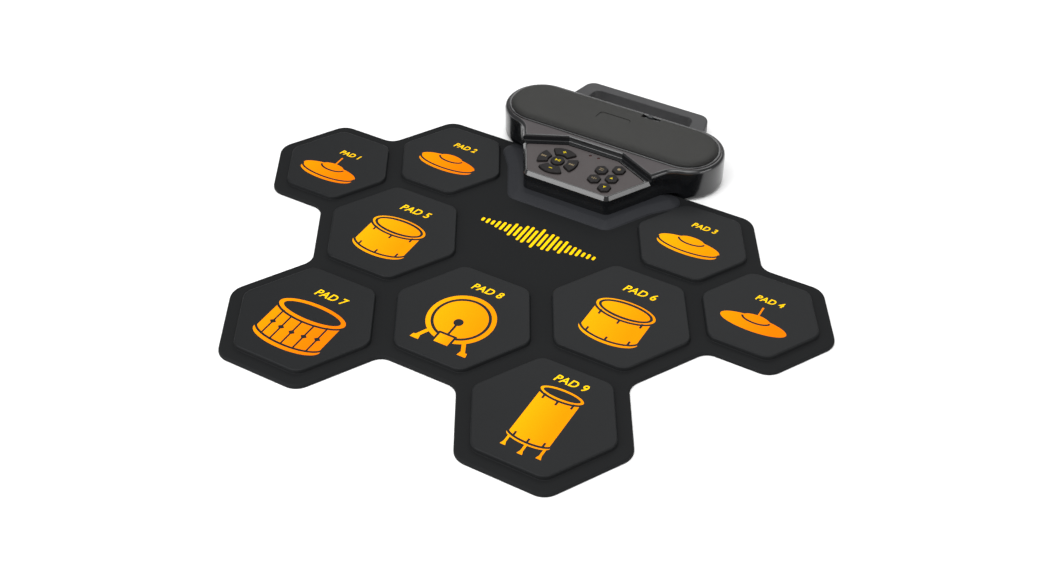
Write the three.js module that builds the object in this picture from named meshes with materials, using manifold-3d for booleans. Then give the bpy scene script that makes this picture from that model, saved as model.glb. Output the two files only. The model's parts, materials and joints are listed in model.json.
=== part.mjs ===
// Roll-up electronic drum pad: a soft mat with nine hexagonal pads and a speaker console.
// Millimetres, +X to the player's right, +Y away from the player, +Z up, the table at z = 0.
import * as THREE from 'three';
import { mergeVertices } from 'three/addons/utils/BufferGeometryUtils.js';
import Module from 'manifold-3d';

const wasm = await Module();
wasm.setup();

// ---- driving dimensions ----
const GAP = 0.3; // clearance between neighbouring pieces

// Pads: the kick pad is at the plan's centre, and the drums sit one pitch from it
const PITCH = 110;
const DRUM_APOTHEM = 46;
const CYMBAL_APOTHEM = 37.5;
const CYMBAL_GAP = 14.4; // between a tom pad and the cymbal pads beside it
const CRASH_SHIFT = 9.8; // the crash pads stand outwards of the toms, clear of the console
const PAD_CORNER_RADIUS = 10;
const PAD_EDGE = 1.4; // plan width of a pad's rounded top edge
const PAD_TOP = 6.5;

// Mat
const MAT_MARGIN = 11.8;
const MAT_TOP = 3.2;
const MAT_CORNER_RADIUS = 14;
const MAT_FILLET_RADIUS = 12;
const MAT_RIM = 4.5; // width of solid silicone round the backing sheet
const MAT_BACK_Y = 201.6;
const BACKING_TOP = 1;
const FILM_BOTTOM = 1.3;
const FILM_TOP = 1.6;
const FILM_STRIP = 8;
const FILM_HUB_Y = 110;
const FILM_TAIL_Y = 160;
const FILM_TAIL_TOP = 12.6;
const SENSOR_RADIUS = 23;
const SENSOR_BOTTOM = 1.9;
const SENSOR_TOP = 2.5;

// Console plan: a hexagonal control end whose sides sweep into a long speaker bar
const CONSOLE_FRONT_Y = 148.3;
const CONSOLE_SIDE = [57.2, 185]; // a point of the control end's side, which faces 30 degrees forwards
const CONSOLE_FRONT_RADIUS = 6.5;
const WING_RADIUS = 17.5;
const BAR_Y = 228.4;
const BAR_END_X = 64.6;
const BAR_RADIUS = 29.7;
const RIDGE_CORNER = [23.3, 199.1];
const RIDGE_SLANT = 25.3; // the ridge's sides slant forwards by this from the X axis
const WALL = 2.4;
const BEZEL = 2.4;
const BEZEL_SLOPE = 2; // plan width of the bezel's sloping face
const REAR_BEZEL = 3.8; // strip between the panel and the ridge
const LIP_INSET = 3.2; // the ledge of the bar outside the grille's lip
const LIP_WIDTH = 1.7;
const PLINTH_FRONT_Y = 136;
const PLINTH_SIDE = [62.5, 170.5];
const PLINTH_REAR_ANGLE = -41.5; // outward normal of the plinth's rear side
const PLINTH_SLOPE = 8; // plan width of its sloping top edge

// Console heights
const CASE_BOTTOM = 0.8;
const CASE_FLOOR = 2.8;
const PARTING = 4.2;
const SHELF_BOTTOM = PAD_TOP + GAP;
const SHELF_TOP = 8.8;
const BOARD_BOTTOM = 13.5;
const BOARD_TOP = 15.1;
const CEILING = 20.2;
const SEAT = 21.1;
const BEZEL_BOTTOM = 19.6;
const BEZEL_TOP = 22.9;
const PANEL_TOP = 22.5;
const SHOULDER = 24.9; // where the casing's wall starts to round over into the deck
const BAFFLE_BOTTOM = 26.5;
const BAFFLE_TOP = 27.9;
const DECK = 28.3;
const LIP_TOP = 29.2;
const GRILLE_TOP = 32.2;

// Buttons
const KEY_TOP = 24.1;
const KEY_FLANGE = 0.6;
const KEY_FLANGE_TOP = 20.4;
const KEY_BOTTOM = 19.4;
const KEY_TRAVEL = 1;
const RING_CENTRE = [-18.9, 171.9];
const RING_INNER = 7.8;
const RING_OUTER = 16.2;
const RING_KEYS = [['right', 0, 30], ['up', 90, 39], ['left', 180, 30], ['down', 270, 39]]; // half spans
const RING_KEY_CORNER = 1.1;
const ROUND_KEY_RADIUS = 5.3;
const HEX_KEY_APOTHEM = 4.7;
const HEX_KEY_PITCH = 12.5;
const HEX_KEY_COLUMNS = [{ x: 16.4, y: 165.2, count: 2 }, { x: 28.3, y: 159, count: 3 }];
const LED_PLACES = [['status_led_left', -0.2], ['status_led_right', 6.9]];
const LED_Y = 191.1;
const LED_RADIUS = 0.9;

// Power switch in the notch at the grille's rear edge
const SWITCH_X = 24;
const SWITCH_Y = 250;
const SWITCH_TRAVEL = 3;
const NOTCH_WIDTH = 16;
const NOTCH_FRONT_Y = 245.8;

// Speakers, battery, sockets and handle
const SPEAKER_X = 52;
const SPEAKER_RADIUS = 18;
const JACKS = [['kick_pedal_socket', -19], ['hihat_pedal_socket', -8], ['headphone_socket', 3]];
const JACK_Z = 18.6;
const USB_X = 13.5;
const USB_Z = 17.1;
const HANDLE_WALL_X = 63.3;
const HANDLE_FAR_X = 54.3;
const HANDLE_FAR_Y = 295.9;
const HANDLE_TOP = 14.5;
const HANDLE_BOTTOM = 1.2;
const SLOT_NEAR = [47.2, 262.6];
const SLOT_FAR = [44.2, 286.8];
const CASE_SCREWS = [[79, 214.6], [79, 242.6]];
const CLAMP_SCREW = [36, 186];
const HANDLE_SCREW = [56.5, 9];
const FOOT_PLACES = [[67, 215], [67, 242.2]];
const CLAMP_PLATE = { x: 46, front: 168, back: 198, bottom: 0.4, top: 2.2 };

const GRILLE_INSET = LIP_INSET + LIP_WIDTH + GAP;
const REAR_Y = BAR_Y + BAR_RADIUS;
const PLAN_FRONT_Y = -PITCH / 2 - DRUM_APOTHEM - MAT_MARGIN;
const PLAN_CENTRE_Y = (PLAN_FRONT_Y + HANDLE_FAR_Y) / 2;

// ---- materials ----
const finish = (color, roughness, metalness = 0) => (
  new THREE.MeshStandardMaterial({ color, roughness, metalness })
);
const FINISH = {
  silicone: finish(0x2b2c2f, 0.8),
  backing: finish(0x1f2022, 0.85),
  film: finish(0xb9833a, 0.5),
  sensor: finish(0x8f8f86, 0.5),
  gloss: finish(0x0b0b0d, 0.2),
  handle: finish(0x17181a, 0.45),
  panel: finish(0x3c3a3b, 0.4),
  grille: finish(0x2a2c2c, 0.7),
  key: finish(0x161617, 0.5),
  rubber: finish(0x1a1a1a, 0.9),
  board: finish(0x1d5a34, 0.5),
  metal: finish(0x9a9a9c, 0.35, 1),
  paper: finish(0x222222, 0.9),
  cell: finish(0x6f7f9a, 0.4),
  lens: finish(0x2a0f0d, 0.2),
  knob: finish(0x8a8d8f, 0.5),
};

// ---- plan outlines ----
// A line is its outward normal and its distance from the plan's origin. An outline is a list of
// arcs, anticlockwise, joined by straight stretches. Moving it inwards changes only the arcs' radii.
const radians = THREE.MathUtils.degToRad;
const degrees = THREE.MathUtils.radToDeg;

function line(facing, x, y, outwards = 0) {
  const nx = Math.cos(radians(facing));
  const ny = Math.sin(radians(facing));
  return { facing, nx, ny, distance: nx * x + ny * y + outwards };
}

function meet(a, b) {
  const scale = a.nx * b.ny - a.ny * b.nx;
  return [
    (a.distance * b.ny - b.distance * a.ny) / scale,
    (b.distance * a.nx - a.distance * b.nx) / scale,
  ];
}

function cornerArc(a, b, convexRadius, concaveRadius, steps) {
  const turn = THREE.MathUtils.euclideanModulo(b.facing - a.facing + 180, 360) - 180;
  const side = Math.sign(turn);
  const radius = side > 0 ? convexRadius : concaveRadius;
  const [x, y] = meet(a, b);
  const back = (side * radius) / (1 + a.nx * b.nx + a.ny * b.ny);
  return {
    x: x - (a.nx + b.nx) * back,
    y: y - (a.ny + b.ny) * back,
    radius,
    from: side > 0 ? a.facing : a.facing + 180,
    turn,
    steps,
  };
}

function openOutline(lines, convexRadius, concaveRadius = convexRadius, steps = 3) {
  return lines.slice(1).map((next, i) => (
    cornerArc(lines[i], next, convexRadius, concaveRadius, steps)
  ));
}

function closedOutline(lines, radius, steps) {
  return openOutline([...lines, lines[0]], radius, radius, steps);
}

// The right-hand half of an outline, from its front edge to its rear edge, and its mirror image
function mirrored(half) {
  const left = half.map((arc) => ({ ...arc, x: -arc.x, from: 180 - arc.from - arc.turn }));
  return [...half, ...left.reverse()];
}

function ring(arcs, inset) {
  const points = [];
  for (const arc of arcs) {
    const radius = arc.radius - Math.sign(arc.turn) * inset;
    for (let i = 0; i <= arc.steps; i += 1) {
      const angle = radians(arc.from + (arc.turn * i) / arc.steps);
      const point = new THREE.Vector2(
        arc.x + radius * Math.cos(angle),
        arc.y + radius * Math.sin(angle),
      );
      const last = points[points.length - 1];
      if (!last || last.distanceTo(point) > 1e-3) points.push(point);
    }
  }
  if (points[0].distanceTo(points[points.length - 1]) < 1e-3) points.pop();
  return points;
}

// A regular hexagon with one side facing the given way
function hexagon(x, y, apothem, radius, steps = 2, facing = 30) {
  const sides = [0, 1, 2, 3, 4, 5].map((i) => line(facing + 60 * i, x, y, apothem));
  return closedOutline(sides, radius, steps);
}

function rectangle(x0, y0, x1, y1, radius, steps = 2) {
  const lines = [line(-90, x0, y0), line(0, x1, y1), line(90, x1, y1), line(180, x0, y0)];
  return closedOutline(lines, radius, steps);
}

// ---- solids ----
// Stacks an outline's insets at their heights, [inset, z] from the bottom up, and closes both ends
function loft(arcs, profile) {
  const rings = profile.map(([inset]) => ring(arcs, inset));
  const count = rings[0].length;
  const position = rings.flatMap((points, i) => points.flatMap((p) => [p.x, p.y, profile[i][1]]));
  const index = [];
  for (let level = 0; level < rings.length - 1; level += 1) {
    for (let i = 0; i < count; i += 1) {
      const a = level * count + i;
      const b = level * count + ((i + 1) % count);
      index.push(a, b, b + count, a, b + count, a + count);
    }
  }
  const top = (rings.length - 1) * count;
  for (const [a, b, c] of THREE.ShapeUtils.triangulateShape(rings[0], [])) index.push(c, b, a);
  for (const face of THREE.ShapeUtils.triangulateShape(rings[rings.length - 1], [])) {
    index.push(...face.map((i) => i + top));
  }
  const geometry = new THREE.BufferGeometry();
  geometry.setAttribute('position', new THREE.Float32BufferAttribute(position, 3));
  geometry.setIndex(index);
  return geometry;
}

function toSolid(geometry) {
  const bare = geometry.clone();
  bare.deleteAttribute('normal');
  bare.deleteAttribute('uv');
  const merged = mergeVertices(bare, 1e-4);
  return new wasm.Manifold(new wasm.Mesh({
    numProp: 3,
    vertProperties: merged.attributes.position.array,
    triVerts: new Uint32Array(merged.index.array),
  }));
}

function toGeometry(solid) {
  const mesh = solid.getMesh();
  const geometry = new THREE.BufferGeometry();
  geometry.setAttribute('position', new THREE.BufferAttribute(mesh.vertProperties, 3));
  geometry.setIndex(new THREE.BufferAttribute(mesh.triVerts, 1));
  return geometry;
}

const prism = (arcs, profile) => toSolid(loft(arcs, profile));
const join = (first, ...others) => others.reduce((whole, part) => whole.add(part), first);
const cut = (first, ...tools) => tools.reduce((whole, tool) => whole.subtract(tool), first);

function box(x0, y0, z0, x1, y1, z1) {
  const geometry = new THREE.BoxGeometry(x1 - x0, y1 - y0, z1 - z0);
  geometry.translate((x0 + x1) / 2, (y0 + y1) / 2, (z0 + z1) / 2);
  return toSolid(geometry);
}

function post(x, y, radius, z0, z1, sides = 12) {
  const geometry = new THREE.CylinderGeometry(radius, radius, z1 - z0, sides);
  geometry.rotateX(Math.PI / 2);
  geometry.translate(x, y, (z0 + z1) / 2);
  return toSolid(geometry);
}

function rod(x, z, radius, y0, y1, sides = 10) {
  const geometry = new THREE.CylinderGeometry(radius, radius, y1 - y0, sides);
  geometry.translate(x, (y0 + y1) / 2, z);
  return toSolid(geometry);
}

function turned(x, y, profile, sides = 14) {
  const points = profile.map(([radius, z]) => new THREE.Vector2(radius, z));
  const geometry = new THREE.LatheGeometry(points, sides);
  geometry.rotateX(Math.PI / 2);
  geometry.translate(x, y, 0);
  return geometry;
}

// ---- pads and outlines of the product ----
const tomX = PITCH * Math.cos(radians(30));
const tomY = PITCH / 2;
const cymbalStep = DRUM_APOTHEM + CYMBAL_APOTHEM + CYMBAL_GAP;
const rideX = tomX + cymbalStep * Math.cos(radians(30));
const rideY = tomY + cymbalStep * Math.sin(radians(30));
const PADS = {
  kick: { x: 0, y: 0, apothem: DRUM_APOTHEM },
  snare: { x: -tomX, y: -tomY, apothem: DRUM_APOTHEM },
  tom_high: { x: -tomX, y: tomY, apothem: DRUM_APOTHEM },
  tom_low: { x: tomX, y: tomY, apothem: DRUM_APOTHEM },
  tom_floor: { x: tomX, y: -tomY, apothem: DRUM_APOTHEM },
  hihat: { x: -rideX, y: rideY, apothem: CYMBAL_APOTHEM },
  crash_left: { x: -tomX - CRASH_SHIFT, y: tomY + cymbalStep, apothem: CYMBAL_APOTHEM },
  crash_right: { x: tomX + CRASH_SHIFT, y: tomY + cymbalStep, apothem: CYMBAL_APOTHEM },
  ride: { x: rideX, y: rideY, apothem: CYMBAL_APOTHEM },
};

// The mat's edge runs a margin outside these pad edges, named by pad and edge normal
const MAT_WALK = [
  ['kick', 270], ['tom_floor', 210], ['tom_floor', 270], ['tom_floor', 330], ['tom_floor', 30],
  ['tom_low', 330], ['ride', 270], ['ride', 330], ['ride', 30], ['ride', 90], ['crash_right', 30],
];

function matOutline() {
  const lines = MAT_WALK.map(([name, angle]) => {
    const pad = PADS[name];
    return line(angle, pad.x, pad.y, pad.apothem + MAT_MARGIN);
  });
  lines.push(line(90, 0, MAT_BACK_Y));
  return mirrored(openOutline(lines, MAT_CORNER_RADIUS, MAT_FILLET_RADIUS));
}

function plinthOutline() {
  const side = line(-30, ...PLINTH_SIDE);
  const rear = line(PLINTH_REAR_ANGLE, ...PLINTH_SIDE);
  const lines = [line(-90, 0, PLINTH_FRONT_Y), side];
  const half = openOutline(lines, 9);
  half.push(cornerArc(side, rear, 0, 18, 3));
  half.push(cornerArc(rear, line(90, 0, MAT_BACK_Y - 1), 9, 0, 3));
  return mirrored(half);
}

// The wing is a concave arc that touches the control end's side and the bar's round end
function consoleOutline() {
  const front = line(-90, 0, CONSOLE_FRONT_Y);
  const side = line(-30, ...CONSOLE_SIDE);
  const reach = side.distance + WING_RADIUS;
  const across = side.nx * BAR_END_X + side.ny * BAR_Y - reach;
  const along = side.nx * BAR_Y - side.ny * BAR_END_X;
  const step = along - Math.sqrt((BAR_RADIUS + WING_RADIUS) ** 2 - across ** 2);
  const x = reach * side.nx - step * side.ny;
  const y = reach * side.ny + step * side.nx;
  const toWing = degrees(Math.atan2(y - BAR_Y, x - BAR_END_X));
  const wingTurn = toWing - side.facing;
  return mirrored([
    cornerArc(front, side, CONSOLE_FRONT_RADIUS, 0, 3),
    { x, y, radius: WING_RADIUS, from: side.facing + 180, turn: wingTurn, steps: 4 },
    { x: BAR_END_X, y: BAR_Y, radius: BAR_RADIUS, from: toWing, turn: 90 - toWing, steps: 10 },
  ]);
}

function barOutline() {
  return mirrored([
    { x: BAR_END_X, y: BAR_Y, radius: BAR_RADIUS, from: -90, turn: 180, steps: 10 },
  ]);
}

// Everything behind the ridge that closes the control panel's rear
function ridgeOutline() {
  const far = 120;
  const lines = [
    line(-90, ...RIDGE_CORNER), line(-90 - RIDGE_SLANT, ...RIDGE_CORNER),
    line(0, far, 0), line(90, 0, far + BAR_Y),
  ];
  return mirrored(openOutline(lines, 6, 2, 2));
}

function panelOutline(shrink = 0) {
  const front = line(-90, 0, CONSOLE_FRONT_Y, -BEZEL - shrink);
  const side = line(-30, ...CONSOLE_SIDE, -BEZEL - shrink);
  const slant = line(90 - RIDGE_SLANT, ...RIDGE_CORNER, -REAR_BEZEL - shrink);
  const rear = line(90, ...RIDGE_CORNER, -REAR_BEZEL - shrink);
  const frontCorner = cornerArc(front, side, CONSOLE_FRONT_RADIUS - BEZEL, 0, 3);
  return mirrored([frontCorner, ...openOutline([side, slant, rear], 2.5, 2.5, 2)]);
}

const MAT = matOutline();
const PLINTH = plinthOutline();
const CONSOLE = consoleOutline();
const BAR = barOutline();
const PANEL = panelOutline();

// ---- the assembly ----
const product = new THREE.Group();
product.position.y = -PLAN_CENTRE_Y;

function add(name, shape, material) {
  const geometry = shape.isBufferGeometry ? shape : toGeometry(shape);
  const mesh = new THREE.Mesh(geometry, FINISH[material]);
  mesh.name = name;
  product.add(mesh);
}

const bothSides = (places) => places.flatMap(([x, y]) => [[-x, y], [x, y]]);

// ---- mat ----
function matTop() {
  const raised = [[0, MAT_TOP - 1], [0.3, PAD_TOP - 0.9], [PAD_EDGE, PAD_TOP]];
  const sloping = [[0, MAT_TOP - 1], [0.2, MAT_TOP + 0.6], [PLINTH_SLOPE, PAD_TOP]];
  const slab = prism(MAT, [[0, 0], [0, MAT_TOP - 1.2], [1.4, MAT_TOP]]);
  const pads = Object.values(PADS).map((pad) => (
    prism(hexagon(pad.x, pad.y, pad.apothem + PAD_EDGE, PAD_CORNER_RADIUS), raised)
  ));
  const pockets = Object.values(PADS).map((pad) => (
    post(pad.x, pad.y, SENSOR_RADIUS + 0.5, 1, SENSOR_TOP + GAP)
  ));
  const { x, front, back, top } = CLAMP_PLATE;
  const clampPocket = box(-x - GAP, front - GAP, -1, x + GAP, back + GAP, top + GAP);
  const tailSlot = box(-12, FILM_TAIL_Y - 2, -1, 12, FILM_TAIL_Y + 2, PAD_TOP + 1);
  const holes = bothSides([CLAMP_SCREW]).map(([hx, hy]) => post(hx, hy, 1.8, -1, PAD_TOP + 1, 8));
  return cut(
    join(slab, ...pads, prism(PLINTH, sloping)),
    prism(MAT, [[MAT_RIM, -1], [MAT_RIM, SENSOR_BOTTOM]]),
    ...pockets,
    clampPocket,
    tailSlot,
    ...holes,
  );
}

function matBacking() {
  const { x, front, back } = CLAMP_PLATE;
  return cut(
    prism(MAT, [[MAT_RIM + GAP, 0], [MAT_RIM + GAP, BACKING_TOP]]),
    box(-x - GAP, front - GAP, -1, x + GAP, back + GAP, BACKING_TOP + 1),
  );
}

function filmStrip([x0, y0], [x1, y1]) {
  const length = Math.hypot(x1 - x0, y1 - y0);
  const geometry = new THREE.BoxGeometry(length, FILM_STRIP, FILM_TOP - FILM_BOTTOM);
  geometry.rotateZ(Math.atan2(y1 - y0, x1 - x0));
  geometry.translate((x0 + x1) / 2, (y0 + y1) / 2, (FILM_BOTTOM + FILM_TOP) / 2);
  return toSolid(geometry);
}

// One printed film: discs under the sensors, joined by strips to a tail that rises into the console
function sensorFilm() {
  const at = (name) => [PADS[name].x, PADS[name].y];
  const hub = [0, FILM_HUB_Y];
  const strips = [
    [hub, [0, FILM_TAIL_Y]], [hub, at('kick')],
    [hub, at('tom_high')], [at('tom_high'), at('snare')],
    [hub, at('crash_left')], [at('crash_left'), at('hihat')],
    [hub, at('tom_low')], [at('tom_low'), at('tom_floor')],
    [hub, at('crash_right')], [at('crash_right'), at('ride')],
  ].map(([a, b]) => filmStrip(a, b));
  const discs = Object.values(PADS).map((pad) => post(pad.x, pad.y, 19, FILM_BOTTOM, FILM_TOP, 8));
  const tail = box(-10, FILM_TAIL_Y - 0.3, FILM_BOTTOM, 10, FILM_TAIL_Y + 0.3, FILM_TAIL_TOP);
  const foot = box(-10, FILM_TAIL_Y - 6, FILM_BOTTOM, 10, FILM_TAIL_Y + 0.3, FILM_TOP);
  return join(...strips, ...discs, foot, tail);
}

add('mat_top', matTop(), 'silicone');
add('mat_backing', matBacking(), 'backing');
add('sensor_film', sensorFilm(), 'film');
for (const [name, pad] of Object.entries(PADS)) {
  const disc = post(pad.x, pad.y, SENSOR_RADIUS, SENSOR_BOTTOM, SENSOR_TOP);
  add(`sensor_${name}`, disc, 'sensor');
}

// ---- console casing ----
function topCase() {
  const body = prism(CONSOLE, [
    [0, PARTING + GAP], [0, BEZEL_BOTTOM], [BEZEL_SLOPE, BEZEL_TOP],
  ]);
  const deck = prism(CONSOLE, [
    [0, BEZEL_BOTTOM], [0, SHOULDER], [0.4, DECK - 1.6], [1.2, DECK - 0.5], [2.6, DECK],
  ]);
  const ridge = prism(ridgeOutline(), [[0, BEZEL_BOTTOM], [0, DECK - 1], [0.9, DECK]]);
  const lip = prism(BAR, [
    [LIP_INSET, DECK - 1], [LIP_INSET, LIP_TOP - 0.4], [LIP_INSET + 0.5, LIP_TOP],
  ]);
  const underPanel = prism(CONSOLE, [[WALL, -1], [WALL, CEILING]]);
  const underDeck = prism(CONSOLE, [[WALL, CEILING - 1], [WALL, BAFFLE_BOTTOM - 1]])
    .intersect(prism(ridgeOutline(), [[WALL, CEILING - 1], [WALL, BAFFLE_BOTTOM - 1]]));
  const inBar = prism(BAR, [[WALL, -1], [WALL, BAFFLE_BOTTOM]]);
  const aboveMat = box(-120, 100, -1, 120, MAT_BACK_Y + GAP, SHELF_BOTTOM);
  const seat = prism(PANEL, [[0, SEAT], [0, BEZEL_TOP + 0.01]]);
  const window = prism(PANEL, [[2, CEILING - 1], [2, BEZEL_TOP]]);
  const lipInside = LIP_INSET + LIP_WIDTH;
  const grilleSeat = prism(BAR, [[lipInside, BAFFLE_TOP], [lipInside, LIP_TOP + 1]]);
  const outlets = [-SPEAKER_X, SPEAKER_X].map((x) => (
    post(x, BAR_Y, SPEAKER_RADIUS - 2.5, BAFFLE_BOTTOM - 1, BAFFLE_TOP + 1, 14)
  ));
  const stemSlot = box(
    SWITCH_X - 3.3, SWITCH_Y - 1.2, BAFFLE_BOTTOM - 1, SWITCH_X + 3.3, SWITCH_Y + 1.2, BAFFLE_TOP + 1,
  );
  const bosses = bothSides(CASE_SCREWS).map(([x, y]) => (
    post(x, y, 3.6, PARTING + GAP, BAFFLE_BOTTOM + 0.5, 8)
  ));
  const bores = bothSides(CASE_SCREWS).map(([x, y]) => post(x, y, 1.7, 4, 16, 8));
  const [screwX, screwZ] = HANDLE_SCREW;
  const handleHoles = [-screwX, screwX].map((x) => rod(x, screwZ, 1.8, REAR_Y - 4, REAR_Y + 1, 8));
  const jackHoles = JACKS.map(([, x]) => rod(x, JACK_Z, 3.3, REAR_Y - 4, REAR_Y + 3));
  const usbHole = box(USB_X - 4.9, REAR_Y - 4, USB_Z - 2, USB_X + 4.9, REAR_Y + 3, USB_Z + 2);
  const shell = cut(
    join(body, deck.intersect(ridge), lip),
    underPanel, underDeck, inBar, aboveMat, seat, window, grilleSeat, ...outlets, stemSlot,
  );
  return cut(join(shell, ...bosses), ...bores, ...handleHoles, ...jackHoles, usbHole);
}

function bottomCase() {
  const inner = WALL + 0.2;
  const front = MAT_BACK_Y + GAP;
  const riserBack = front + 2.2;
  const hull = cut(
    prism(BAR, [
      [GAP + 2.5, CASE_BOTTOM], [GAP + 0.7, CASE_BOTTOM + 0.8], [GAP, CASE_BOTTOM + 2.4],
      [GAP, PARTING],
    ]),
    prism(BAR, [[inner, CASE_FLOOR], [inner, PARTING + 1]]),
  );
  const tray = hull.intersect(box(-120, front, 0, 120, REAR_Y + 5, PARTING));
  const shelfPlan = prism(CONSOLE, [[WALL + GAP, SHELF_BOTTOM], [WALL + GAP, SHELF_TOP]]);
  const shelf = shelfPlan.intersect(box(-100, 0, 0, 100, riserBack, 100));
  const riser = box(-60, front, CASE_FLOOR - 1, 60, riserBack, SHELF_TOP);
  const screwPads = bothSides(CASE_SCREWS).map(([x, y]) => (
    post(x, y, 4.6, CASE_FLOOR - 1, PARTING, 8)
  ));
  const counterbores = bothSides(CASE_SCREWS).flatMap(([x, y]) => [
    post(x, y, 3.3, 0, 3, 8), post(x, y, 1.8, 0, 7, 8),
  ]);
  const footWells = bothSides(FOOT_PLACES).map(([x, y]) => post(x, y, 5.3, 0, 1.7));
  const bosses = bothSides([CLAMP_SCREW]).map(([x, y]) => post(x, y, 3.4, SHELF_TOP - 1, 12.8, 8));
  const keyBoardPosts = bothSides([[25, 157], [42, 176]]).map(([x, y]) => (
    post(x, y, 2.2, SHELF_TOP - 1, BOARD_BOTTOM - GAP, 8)
  ));
  const mainBoardPosts = bothSides([[28, 216], [28, 248]]).map(([x, y]) => (
    post(x, y, 2.2, CASE_FLOOR - 1, BOARD_BOTTOM - GAP, 8)
  ));
  const bores = bothSides([CLAMP_SCREW]).map(([x, y]) => post(x, y, 1.8, 6, 14, 8));
  const tailSlot = box(-12, FILM_TAIL_Y - 2, 6, 12, FILM_TAIL_Y + 2, SHELF_TOP + 1);
  return cut(
    join(tray, shelf, riser, ...screwPads, ...bosses, ...keyBoardPosts, ...mainBoardPosts),
    ...counterbores, ...footWells, ...bores, tailSlot,
  );
}

function speakerGrille() {
  const dome = prism(BAR, [
    [GRILLE_INSET, BAFFLE_TOP + GAP], [GRILLE_INSET, LIP_TOP - 0.1], [GRILLE_INSET + 0.6, LIP_TOP + 1],
    [GRILLE_INSET + 2.2, GRILLE_TOP - 0.9], [GRILLE_INSET + 5, GRILLE_TOP - 0.2],
    [GRILLE_INSET + 10, GRILLE_TOP],
  ]);
  const hollow = prism(BAR, [
    [GRILLE_INSET + 1.6, BAFFLE_TOP - 1], [GRILLE_INSET + 1.6, LIP_TOP],
    [GRILLE_INSET + 3.4, GRILLE_TOP - 2.2], [GRILLE_INSET + 10, GRILLE_TOP - 1.4],
  ]);
  const notch = box(
    SWITCH_X - NOTCH_WIDTH / 2, NOTCH_FRONT_Y, BAFFLE_TOP - 1,
    SWITCH_X + NOTCH_WIDTH / 2, REAR_Y + 5, GRILLE_TOP + 1,
  );
  return cut(dome, hollow, notch);
}

// ---- buttons ----
// A ring key is a sector of an annulus with rounded corners, its sides along two radii
function ringKeyOutline(middle, halfSpan) {
  const [x, y] = RING_CENTRE;
  const lean = (radius) => halfSpan - degrees(Math.asin(RING_KEY_CORNER / radius));
  const outer = RING_OUTER - RING_KEY_CORNER;
  const inner = RING_INNER + RING_KEY_CORNER;
  const outerLean = lean(outer);
  const innerLean = lean(inner);
  const sideLean = halfSpan + 90;
  const corner = (radius, angle, from, turn) => ({
    x: x + radius * Math.cos(radians(angle)),
    y: y + radius * Math.sin(radians(angle)),
    radius: RING_KEY_CORNER,
    from,
    turn,
    steps: 1,
  });
  return [
    { x, y, radius: RING_OUTER, from: middle - outerLean, turn: 2 * outerLean, steps: 4 },
    corner(outer, middle + outerLean, middle + outerLean, sideLean - outerLean),
    corner(inner, middle + innerLean, middle + sideLean, 180 + innerLean - sideLean),
    { x, y, radius: RING_INNER, from: middle + innerLean, turn: -2 * innerLean, steps: 2 },
    corner(inner, middle - innerLean, middle - innerLean + 180, 180 + innerLean - sideLean),
    corner(outer, middle - outerLean, middle - sideLean, sideLean - outerLean),
  ];
}

function roundOutline([x, y], radius, steps = 14) {
  return [{ x, y, radius, from: 0, turn: 360 * (1 - 1 / steps), steps: steps - 1 }];
}

const KEYS = [
  ['button_play', roundOutline(RING_CENTRE, ROUND_KEY_RADIUS), RING_CENTRE],
];
for (const [name, angle, halfSpan] of RING_KEYS) {
  const middle = (RING_INNER + RING_OUTER) / 2;
  KEYS.push([`button_${name}`, ringKeyOutline(angle, halfSpan), [
    RING_CENTRE[0] + middle * Math.cos(radians(angle)),
    RING_CENTRE[1] + middle * Math.sin(radians(angle)),
  ]]);
}
for (const column of HEX_KEY_COLUMNS) {
  for (let row = 0; row < column.count; row += 1) {
    const y = column.y + row * HEX_KEY_PITCH;
    const outline = hexagon(column.x, y, HEX_KEY_APOTHEM, 1.3, 1, 0);
    KEYS.push([`button_hex_${KEYS.length - 4}`, outline, [column.x, y]]);
  }
}

function controlPanel() {
  const plate = prism(PANEL, [[GAP, SEAT + GAP], [GAP, PANEL_TOP]]);
  const keyHoles = KEYS.map(([, outline]) => (
    prism(outline, [[-0.35, SEAT - 1], [-0.35, BEZEL_TOP + 1]])
  ));
  const ledHoles = LED_PLACES.map(([, x]) => (
    post(x, LED_Y, LED_RADIUS + GAP, SEAT - 1, BEZEL_TOP + 1, 8)
  ));
  return cut(plate, ...keyHoles, ...ledHoles);
}

function keypadMembrane() {
  const sheet = prism(panelOutline(5), [[0, BOARD_TOP + GAP], [0, BOARD_TOP + GAP + 1]]);
  const plungers = KEYS.map(([, , [x, y]]) => (
    post(x, y, 1.8, BOARD_TOP + 1, KEY_BOTTOM - KEY_TRAVEL - GAP, 6)
  ));
  const ledHoles = LED_PLACES.map(([, x]) => post(x, LED_Y, LED_RADIUS + 0.6, 10, 20, 8));
  return cut(join(sheet, ...plungers), ...ledHoles);
}

add('console_top_case', topCase(), 'gloss');
add('console_bottom_case', bottomCase(), 'gloss');
add('speaker_grille', speakerGrille(), 'grille');
add('control_panel', controlPanel(), 'panel');
for (const [name, outline] of KEYS) {
  add(name, loft(outline, [
    [-KEY_FLANGE, KEY_BOTTOM], [-KEY_FLANGE, KEY_FLANGE_TOP], [0, KEY_FLANGE_TOP],
    [0, KEY_TOP - 0.5], [0.6, KEY_TOP],
  ]), 'key');
}
add('keypad_membrane', keypadMembrane(), 'rubber');

// ---- electronics ----
function keyBoard() {
  const ledFeet = LED_PLACES.map(([, x]) => post(x, LED_Y, 0.5, BOARD_BOTTOM - 1, BOARD_TOP + 1, 8));
  return cut(prism(panelOutline(4), [[0, BOARD_BOTTOM], [0, BOARD_TOP]]), ...ledFeet);
}

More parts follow.
